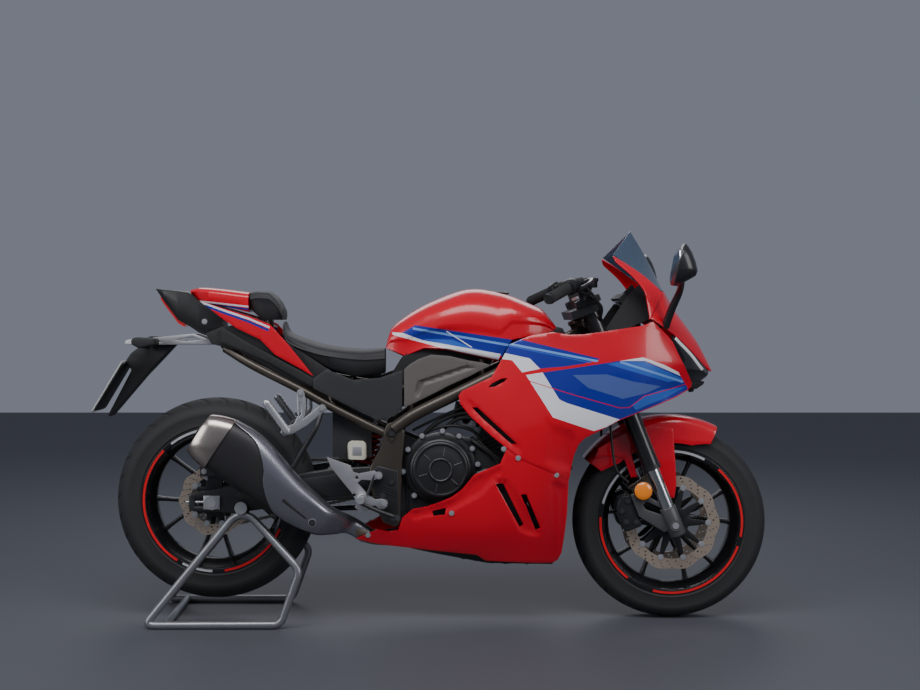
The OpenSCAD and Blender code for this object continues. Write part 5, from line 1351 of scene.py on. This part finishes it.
tube("guard_slot", [on_guard(132 + 88 * k / 12, -36 + 10 * k / 12, -1.6) for k in range(13)], 4.5, "chassis",
    inner_black, sides=12, taper=(3, 5.5))
c = on_guard(110, -37, 0)
tube("guard_boss", [c + Vector((0, 3, 0)), c + Vector((0, -4, 0))], 12, "chassis", silver_alloy, sides=28, sharp=40)
screws("guard_screw", [(c.x, c.y - 6, c.z, -1)], 7, 4, "chassis", carrier_black, 6)
tube("can_hanger", rounded_path([(-338, -136, 646), (-352, -160, 600), on_can(250, 170, 60)], 20), 8, "chassis",
    carrier_black, sides=14)

# ---- footrests and levers ----
# Cast alloy brackets in silver, with a grooved peg, a heel guard and the brake pedal; the pillion's pegs stand folded
# up.
peg_rubber = hose_rubber
rest = flat("rest_bracket", [(-319, 514), (-247, 488), (-238, 468), (-222, 464), (-190, 470), (-177, 473),
    (-164, 466), (-162, 455), (-170, 446),
    (-186, 444), (-214, 446), (-226, 436), (-190, 396), (-172, 386), (-152, 388), (-138, 380), (-136, 366),
    (-146, 357), (-160, 358),
    (-172, 368), (-186, 366), (-208, 342), (-234, 362), (-228, 378), (-246, 410), (-268, 436), (-306, 484)],
    [circle(-228, 452, 5), circle(-236, 400, 5)], -178, -168, "chassis", silver_alloy, both=True, round_off=2.5,
    steps=3)
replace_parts(rest, "rider_footrests")
for s in (-1, 1):
    side = "r" if s < 0 else "l"
    tube(f"rest_post_low_{side}", [(-146, s * 158.3, 375), (-146, s * 174, 375)], 11, "chassis", silver_alloy,
        sides=20)
    tube(f"rest_post_high_{side}", [(-162, s * 158.3, 458), (-162, s * 174, 458)], 11, "chassis", silver_alloy,
        sides=20)
    peg = [(14 if k % 2 else 12.4) for k in range(25)]
    loft(f"rest_peg_{side}", [[(-215 + r * math.cos(a), s * (178 + 3.05 * k),
        392 + r * 0.8 * math.sin(a)) for a in angles(20)]
        for k, r in enumerate(peg)], "chassis", silver_alloy, sharp=30)
tube("brake_pedal", rounded_path([(-215, -186, 376), (-160, -192, 352), (-118, -194, 338), (-104, -208, 338)], 16), 6,
    "chassis", arm_black, sides=14)
tube("brake_pad", [(-104, -202, 336), (-104, -228, 338)], 8, "chassis", arm_black, sides=14)
tube("gear_lever", rounded_path([(-150, 182, 372), (-80, 192, 356), (-52, 196, 360), (-46, 214, 362)], 14), 6,
    "chassis", silver_alloy, sides=14)
tube("gear_toe", [(-46, 204, 362), (-46, 236, 364)], 8.5, "chassis", peg_rubber, sides=14)
tube("brake_rod", [(-196, -180, 400), (-172, -172, 470)], 5, "chassis", carrier_black, sides=12)
screws("rest_bolts", [(x, s * 181, z, s) for x, z in ((-146, 375), (-162, 458)) for s in (-1, 1)], 7.5, 6, "chassis",
    silver_alloy, 6)
hang = flat("pillion_bracket", [(-412, 706), (-400, 716), (-388, 706), (-386, 640), (-392, 626), (-340, 670),
    (-326, 668), (-320, 656), (-330, 646), (-380, 606),
    (-424, 580), (-452, 574), (-462, 586), (-452, 600), (-420, 612), (-408, 636)],
    [[(-404, 632), (-398, 642), (-398, 676), (-403, 676)]], -148, -137, "chassis", silver_alloy, both=True,
    round_off=2.5, steps=3)
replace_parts(hang, "pillion_footrests")
for s in (-1, 1):
    side = "r" if s < 0 else "l"
    a, b = Vector((-434, s * 158, 582)), Vector((-508, s * 158, 684))
    d = (b - a).normalized()
    n = Vector((-d.z, 0, d.x))
    loft(f"pillion_peg_{side}", [[a + d * (124 * k / 20) + n * (w * math.cos(q)) + Vector((0, s * h * math.sin(q),
        0)) for q in angles(16)]
        for k, (w, h) in enumerate([(6, 7)] + [(13 if v % 2 else 11, 9) for v in range(19)] + [(5, 6)])], "chassis",
        silver_alloy, sharp=30)
screws("pillion_bolts", [(x, s * 150, z, s) for x, z in ((-400, 706), (-334, 660)) for s in (-1, 1)], 7.5, 6,
    "chassis", silver_alloy, 6)

# ---- side covers, battery box and fluid bottle ----
# Textured grey covers fill the frame's triangle; behind them sit the battery box and the shock absorber.
cover_plastic = coat("cover_plastic", (0.115, 0.102, 0.097), rough=0.5, scale=1500, depth=0.3, vary=0.1)
seat_side = coat("cover_dark", (0.028, 0.028, 0.031), rough=0.5, scale=1500, depth=0.3, vary=0.1)
grey_front = moulded("side_cover_front", [(-86, 776), (-71, 790), (-44, 807), (-4, 821), (50, 817), (111, 803),
    (150, 797), (176, 790), (168, 784), (150, 776), (111, 756),
    (50, 728), (0, 702), (-44, 680), (-86, 660)], [], [], lambda x, z: tail_width(x) + 4, "chassis", [cover_plastic],
    step=11,
    hollows=[([(-52, 722), (-44, 742), (100, 790), (150, 786), (120, 776), (-24, 726), (-40, 692), (-56, 690)], 7,
    5)])
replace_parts(grey_front, "side_panels")
moulded("side_cover_rear", [(-362, 718), (-362, 747), (-340, 764), (-318, 778), (-306, 770), (-241, 744), (-160, 750),
    (-92, 774), (-92, 654), (-140, 622), (-166, 621),
    (-230, 652), (-300, 687)], [], [], lambda x, z: tail_width(x) + 3, "chassis", [seat_side], step=12)
nodes["battery_box"].material_slots[0].material = seat_side
flat("fluid_bottle", [(-258, 500), (-204, 498), (-200, 506), (-202, 548), (-210, 556), (-252, 556), (-260, 546)], [],
    -118, -95, "chassis",
    coat("bottle_cream", (0.55, 0.53, 0.44), rough=0.45, scale=900, depth=0.05), round_off=6, steps=3)
flat("bottle_label", [(-244, 512), (-216, 512), (-216, 540), (-244, 540)], [], -119, -117.5, "chassis", silver_alloy,
    round_off=1)
spring_red = coat("spring_red", (0.45, 0.01, 0.015), rough=0.35, scale=900, depth=0.04, gloss=0.3)
low, top = Vector((-232, 0, 432)), Vector((-164, 0, 640))
d = (top - low).normalized()
across = Vector((0, 1, 0))
third = d.cross(across)
coil = [low + d * (46 + 118 * k / 220) + (across * math.cos(2 * math.pi * 7 * k / 220) + third * math.sin(2 * math.pi * 7 * k / 220)) * 27 for k in range(221)]
spring = tube("shock_spring", coil, 5.5, "chassis", spring_red, sides=10, sharp=60)
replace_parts(spring, "shock_absorber")
tube("shock_body", [low, low + d * 168], 17, "chassis", carrier_black, sides=28, sharp=40)
tube("shock_rod", [low + d * 166, top], 7, "chassis", silver_alloy, sides=18)
for q, (s0, s1) in enumerate(((38, 45), (165, 172))):
    tube(f"shock_seat_{q}", [low + d * s0, low + d * s1], 33, "chassis", carrier_black, sides=32, sharp=40)
tube("shock_eye_low", [(-232, -18, 432), (-232, 18, 432)], 14, "chassis", carrier_black, sides=24, sharp=40)
tube("shock_eye_top", [(-164, -18, 640), (-164, 18, 640)], 14, "chassis", carrier_black, sides=24, sharp=40)

# ---- plate holder and rear indicators ----
# A black plastic stem carries the blank plate and, on short stalks, two indicators with clear fronts.
holder = flat("plate_stem", [(-893, 752), (-1002, 624), (-1010, 628), (-936, 770), (-956, 796), (-938, 822),
    (-904, 848.5), (-802, 848.5), (-849, 798)], [], -34, 34,
    "chassis", inner_black, round_off=6, steps=3)
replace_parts(holder, "rear_fender")
tilt = math.radians(31)
along, face = Vector((math.sin(tilt), 0, math.cos(tilt))), Vector((math.cos(tilt), 0, -math.sin(tilt)))
mid = Vector((-998, 0, 718))
for nm, d0, d1, hw, hh, paint_ in (("plate_back", -3, 2, 74, 84, inner_black),
    ("number_plate", -5, -2.5, 90, 92, coat("plate_blank", (0.62, 0.62, 0.6), rough=0.4, scale=900, depth=0.02))):
    loft(nm, [[mid + face * dd + along * v + Vector((0, u, 0)) for u,
        v in ((-hw, -hh + 6), (-hw + 6, -hh), (hw - 6, -hh), (hw, -hh + 6), (hw, hh - 6), (hw - 6, hh), (-hw + 6, hh),
        (-hw, hh - 6))]
        for dd in (d0, d1)], "chassis", paint_, round_off=0.8)
screws("plate_screws", [tuple(mid + face * -6 + along * 60 + Vector((0, s * 50, 0))) + (tuple(-face),) for s in (-1,
    1)], 5, 2.5, "chassis", silver_alloy, 6)
# the side reflectors' orange lens glows faintly though it is no lamp: painted light for its bright glint
reflector_glow_orange = coat("reflector_glow_orange", (0.75, 0.20, 0.01), rough=0.12, scale=500, depth=0.03, gloss=0.8,
    glow=(1, 0.3, 0.02, 0.15))
clear_lens = coat("clear_lens", (0.55, 0.56, 0.58), rough=0.1, scale=500, depth=0.03, gloss=0.8)
blinker = flat("indicator_body", [(-908, 850), (-912, 868), (-900, 873), (-842, 869), (-840, 850), (-888, 840)], [],
    -158, -76, "chassis", inner_black, both=True, round_off=5, steps=3)
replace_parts(blinker, "rear_indicators")
flat("indicator_lens", [(-930, 852), (-930, 864), (-912, 868), (-909, 851)], [], -156, -80, "chassis", clear_lens,
    both=True, round_off=3, steps=3)
tube("indicator_stalk", [(-886, -78, 846), (-886, 78, 846)], 9, "chassis", inner_black, sides=18)

# ---- paddock stand and side stand ----
# Bent steel tube in silver-grey: a loop each side under the swingarm's spools, joined across behind the wheel.
stand_steel = coat("stand_steel", (0.27, 0.28, 0.30), rough=0.34, metal=0.7, scale=900, depth=0.08, vary=0.12,
    wear=0.25)
apex = 357 - 12 - 12 - 0.3
loop = [(-862, -195, 12), (-600, -141, apex), (-552, -141, apex), (-398, -195, 176), (-456, -195, 12)]
path = []
for i in range(5):
    a, q, b = Vector(loop[i - 1]), Vector(loop[i]), Vector(loop[(i + 1) % 5])
    r1, r2 = min(26, (q - a).length * 0.45), min(26, (b - q).length * 0.45)
    p0, p2 = q + (a - q).normalized() * r1, q + (b - q).normalized() * r2
    path += [p0 * (1 - t) ** 2 + q * 2 * t * (1 - t) + p2 * t * t for t in (k / 7 for k in range(8))]
stand = tube("stand_loop", path, 12, "chassis", stand_steel, sides=24, both=True, loop=True, sharp=60)
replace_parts(stand, "paddock_stand")
tube("stand_cross", [(-800, -195, 12), (-800, 195, 12)], 11, "chassis", stand_steel, sides=24)
for s in (-1, 1):
    tube(f"stand_cradle_{'r' if s < 0 else 'l'}", [(-596, s * 141, apex + 12), (-556, s * 141, apex + 12)], 4,
        "chassis", hose_rubber, sides=10)
nodes["side_stand"].material_slots[0].material = arm_black

# ---- fork, steering and front brake ----
# Black upper tubes run in two clamps; bright sliders end in grey axle castings that carry the calipers.
def steered_path(points):
    return [steered(*p) for p in points]


chrome = coat("slider_chrome", (0.62, 0.63, 0.65), rough=0.12, metal=1.0, scale=500, depth=0.01)
casting = coat("casting_grey", (0.10, 0.10, 0.105), rough=0.42, metal=0.45, scale=900, depth=0.18, wear=0.35)
fork_black = coat("fork_black", (0.02, 0.02, 0.022), rough=0.28, metal=0.3, scale=900, depth=0.05, gloss=0.4)
leg = tube("fork_tube", steered_path([(35, -103, 190), (35, -103, 744)]), 27, "steering", fork_black, sides=40,
    both=True, sharp=40)
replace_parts(leg, "fork_legs")
tube("fork_seal", steered_path([(35, -103, 182), (35, -103, 196)]), 28.5, "steering", carrier_black, sides=40,
    both=True, sharp=40)
tube("fork_slider", steered_path([(35, -103, 30), (35, -103, 200)]), 20.5, "steering", chrome, sides=40, both=True,
    sharp=40)
tube("fork_cap", steered_path([(35, -103, 742), (35, -103, 752)]), 19, "steering", silver_alloy, sides=6, both=True,
    sharp=30)
tube("fork_foot", steered_path([(35, -103, -34), (35, -103, 56)]), 25.5, "steering", casting, sides=36, both=True,
    sharp=40, round_off=2)


def steered_plate(name, outline, y0, y1, coats, holes=(), **more):
    world = [(steered(u, 0, v).x, steered(u, 0, v).z) for u, v in outline]
    cut = [[(steered(u, 0, v).x, steered(u, 0, v).z) for u, v in h] for h in holes]
    return flat(name, world, cut, y0, y1, "steering", coats, both=True, **more)


steered_plate("caliper_arm", [(40, -14), (40, 54), (-28, 134), (-56, 134), (-57, 62), (-2, -12)], -109, -95, casting,
    holes=[[(24, 30), (26, 50), (-18, 96), (-32, 96), (-30, 76)]],
    round_off=3, steps=3)
tube("front_axle", [(740, -133, 300), (740, 133, 300)], 10, "steering", silver_alloy, sides=28, sharp=40)
tube("front_spacer", [(740, -103, 300), (740, -68, 300)], 16, "steering", silver_alloy, sides=28, both=True, sharp=40)
tube("front_axle_ring", [(740, -131, 300), (740, -127, 300)], 17, "steering", casting, sides=28, both=True, sharp=40)
caliper = steered_plate("front_caliper", [(-112, 34), (-104, 30), (-58, 30), (-56, 36), (-56, 128), (-62, 134),
    (-92, 134), (-112, 110)], -98, -68.8, carrier_black, round_off=6, steps=3)
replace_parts(caliper, "front_calipers")
steered_plate("caliper_inner", [(-112, 34), (-104, 30), (-58, 30), (-56, 36), (-56, 128), (-62, 134), (-92, 134),
    (-112, 110)], -52, -42, carrier_black, round_off=3)
steered_plate("caliper_bridge", [(-112, 56), (-104, 52), (-100, 112), (-112, 106)], -70, -50, carrier_black,
    round_off=2)
screws("caliper_bolts", [tuple(steered(u, s * 100, v)) + (s,) for u,
    v in ((-70, 48), (-70, 118), (-98, 60), (-98, 96)) for s in (-1, 1)], 7, 5, "steering", carrier_black, 6)
# the reflector's faint glow is painted light
turned("side_reflector", (642, 0, 405), [(27, -124), (27, -128), (25, -131), (12, -132.5), (0.5, -133)], "steering",
    reflector_glow_orange, steps=48, both=True, sharp=50)
turned("reflector_shell", (642, 0, 405), [(29, -118), (29, -126), (27, -127), (0.5, -127)], "steering", carrier_black,
    steps=48, both=True, sharp=50)
tube("reflector_stay", [(660, -112, 420), (642, -120, 405)], 7, "steering", carrier_black, sides=12, both=True)
for q, slot_ in enumerate(nodes["triple_clamps"].material_slots):
    slot_.material = carrier_black
tube("brake_hose", smooth_path([(598, -112, 430), (560, -128, 470), (548, -122, 540), (540, -106, 640),
    (520, -80, 740)]), 4, "steering", hose_rubber, sides=10, both=True)

# ---- handlebars and controls ----
# Clip-on bars in black, with rubber grips, levers, switch boxes and the brake fluid bottle on the right.
rubber_grip = coat("grip_rubber", (0.014, 0.014, 0.015), rough=0.66, scale=1600, depth=0.5)
bar_in, bar_out = Vector((0, -218, 796)), Vector((-88, -330, 788.4))
run = (bar_out - bar_in).normalized()
bars = tube("clip_on", steered_path(rounded_path([(24, -137, 790), (10, -206, 797), (-92, -335, 788)], 14)), 11,
    "steering", fork_black, sides=20, both=True, sharp=50)
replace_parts(bars, "handlebars")
loft("grips", [[steered(*(bar_in + run * s)) + (AHEAD * math.cos(a) + UP * math.sin(a)) * r for a in angles(24)]
    for s, r in [(26, 16)] + [(27 + 3.7 * k, 17 if k % 2 else 15.4) for k in range(30)] + [(138, 17.6), (142, 16.5)]],
    "steering", rubber_grip, both=True, sharp=30)
tube("bar_weight", steered_path([bar_in + run * 143, bar_in + run * 150]), 15, "steering", carrier_black, sides=24,
    both=True, sharp=40)
tube("switch_box", steered_path([bar_in - run * 4, bar_in + run * 26]), 24, "steering", carrier_black, sides=24,
    both=True, sharp=40, round_off=3)
steered_plate("bar_clamp", [(-4, 722.5), (74, 722.5), (74, 744), (52, 746), (50, 804), (16, 804), (14, 746),
    (-4, 744)], -151, -133, carrier_black, round_off=3)
tube("clamp_ring", steered_path([(35, -103, 722.5), (35, -103, 744)]), 37, "steering", carrier_black, sides=36,
    both=True, sharp=40)
tube("brake_lever", steered_path(rounded_path([(34, -206, 792), (62, -230, 792), (40, -300, 786), (10, -338, 784)],
    18)), 6, "steering", fork_black, sides=12, both=True, taper=(8, 5), sharp=60)
tube("fluid_stay", [(462, -150, 985), (478, -150, 1028)], 7, "steering", carrier_black, sides=12)
steered_plate("control_block", [(-8, 776), (36, 770), (44, 788), (40, 810), (2, 816)], -206, -152, carrier_black,
    round_off=5, steps=3)
steered_plate("throttle_case", [(-14, 782), (10, 772), (22, 786), (14, 812), (-10, 812)], -226, -207, fork_black,
    round_off=4, steps=3)
loft("fluid_pot", [[(478 + r * math.cos(a), -150 + r * math.sin(a), z) for a in angles(32)]
    for z, r in ((1024, 20), (1026, 21), (1042, 21), (1043, 24), (1051, 24), (1053, 22))], "steering", carrier_black,
    sharp=40)
for q, (pts_, r) in enumerate((([(34, -190, 790), (60, -170, 720), (50, -120, 660), (30, -60, 600)], 4),
    ([(20, 190, 790), (50, 170, 720), (44, 120, 660), (30, 60, 600)], 4),
    ([(-20, -200, 800), (30, -180, 760), (70, -110, 700), (40, -40, 640)], 5))):
    tube(f"control_cable_{q}", steered_path(smooth_path(pts_)), r, "steering", hose_rubber, sides=8)

# ---- front fender ----
# A red moulding over the tyre, with a leg down the inside of each fork tube.
crown = []
for k in range(61):
    a = math.radians(64 + 80 * k / 60)
    end = min(1, min(k, 60 - k) / 9)
    row = []
    for q in range(33):
        v = -1 + 2 * q / 32
        y = 73 * math.sin(v * math.pi / 2) if abs(v) < 0.8 else math.copysign(73 * math.sin(0.4 * math.pi) + (73 - 73 * math.sin(0.4 * math.pi)) * (abs(v) - 0.8) / 0.2, v)
        drop = 330 - 44 * abs(v) ** 3 - 40 * max(0, abs(v) - 0.72) / 0.28 * (0.4 + 0.6 * end)
        row.append((740 + drop * math.cos(a), y, 300 + drop * math.sin(a)))
    crown.append(row)
fender = loft("front_mudguard", crown, "steering", [race_red], closed=False, ends=False, thick=3, round_off=0.8,
    sharp=50)
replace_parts(fender, "front_fender")
moulded("mudguard_leg", [(500, 500), (512, 530), (560, 560), (600, 580), (660, 600), (742, 590), (748, 500),
    (752, 420), (746, 376), (734, 380), (716, 400), (690, 470),
    (660, 560), (640, 570), (612, 520), (632, 442), (612, 440), (590, 500), (560, 508)], [], [], lambda x,
    z: 74.5 + 3 * math.sin((z - 370) / 60), "steering",
    [race_red], step=10, thick=3)

# ---- dashboard and mirrors ----
# A black instrument hood behind the screen, and two mirrors on slim arms.
nodes["dashboard"].material_slots[0].material = inner_black
glass_black = coat("dial_glass", (0.02, 0.025, 0.03), rough=0.06, scale=500, depth=0.005, gloss=1.0)
dial_way = Vector((-math.sin(math.radians(38)), 0, math.cos(math.radians(38))))
dial_out = Vector((-math.cos(math.radians(38)), 0, -math.sin(math.radians(38))))
c = Vector((612, 0, 960)) + dial_out * 12
loft("dial", [[c + dial_out * o + Vector((0, u, 0)) + dial_way * v for u,
    v in ((-76, -36), (-70, -42), (70, -42), (76, -36), (76, 36), (70, 42), (-70, 42), (-76, 36))] for o in (-2, 3)],
    "chassis", glass_black, round_off=1)
for s in (-1, 1):
    moulded(f"hood_side_{'r' if s < 0 else 'l'}", [(520, 884), (600, 1000), (640, 1040), (664, 1000), (690, 940),
        (660, 926), (600, 900)], [], [],
        (lambda x, z: 104 - 0.14 * (z - 900)) if s < 0 else (lambda x, z: -(104 - 0.14 * (z - 900))), "chassis",
        [inner_black], both=False, thick=3)
foot = Vector((735, -112, 868))
mirror_black = coat("mirror_black", (0.014, 0.014, 0.016), rough=0.34, scale=900, depth=0.06, gloss=0.3)
MIRROR = [(-266, 1066, 0.30), (-272, 1070, 0.5), (-284, 1075, 0.78), (-300, 1079, 0.94), (-320, 1082, 1),
    (-345, 1085, 1.02), (-365, 1086, 1), (-380, 1086, 0.86), (-389, 1086, 0.66),
    (-394, 1086, 0.4)]
SECTION = [(24, 61), (32, 54), (44, 34), (54, 8), (60, -18), (54, -32), (40, -40), (8, -57), (-6, -55), (-8, -42),
    (-4, -10), (6, 26), (18, 57)]
head = loft("mirror_head", [[(700 + u * k, y, z + v * k) for u, v in SECTION] for y, z, k in MIRROR], "chassis",
    mirror_black, both=True, sharp=60, round_off=4, steps=3)
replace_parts(head, "mirrors")
tube("mirror_arm", smooth_path([(706, -140, 905), (722, -165, 960), (738, -200, 1010), (734, -262, 1046),
    (728, -310, 1064)], 8), 9, "chassis", mirror_black, sides=16, both=True,
    taper=(13, 8), sharp=60)
glass_mirror = coat("mirror_glass", (0.75, 0.77, 0.8), rough=0.03, metal=1.0, scale=300, depth=0.002)
loft("mirror_pane", [[(x + 0.17 * (z - 1044), y, z) for y,
    z in ((-285, 1050), (-292, 1112), (-320, 1130), (-370, 1132), (-386, 1110), (-384, 1056), (-360, 1042),
    (-300, 1040))] for x in (692.5, 695)],
    "chassis", glass_mirror, both=True, sharp=40)
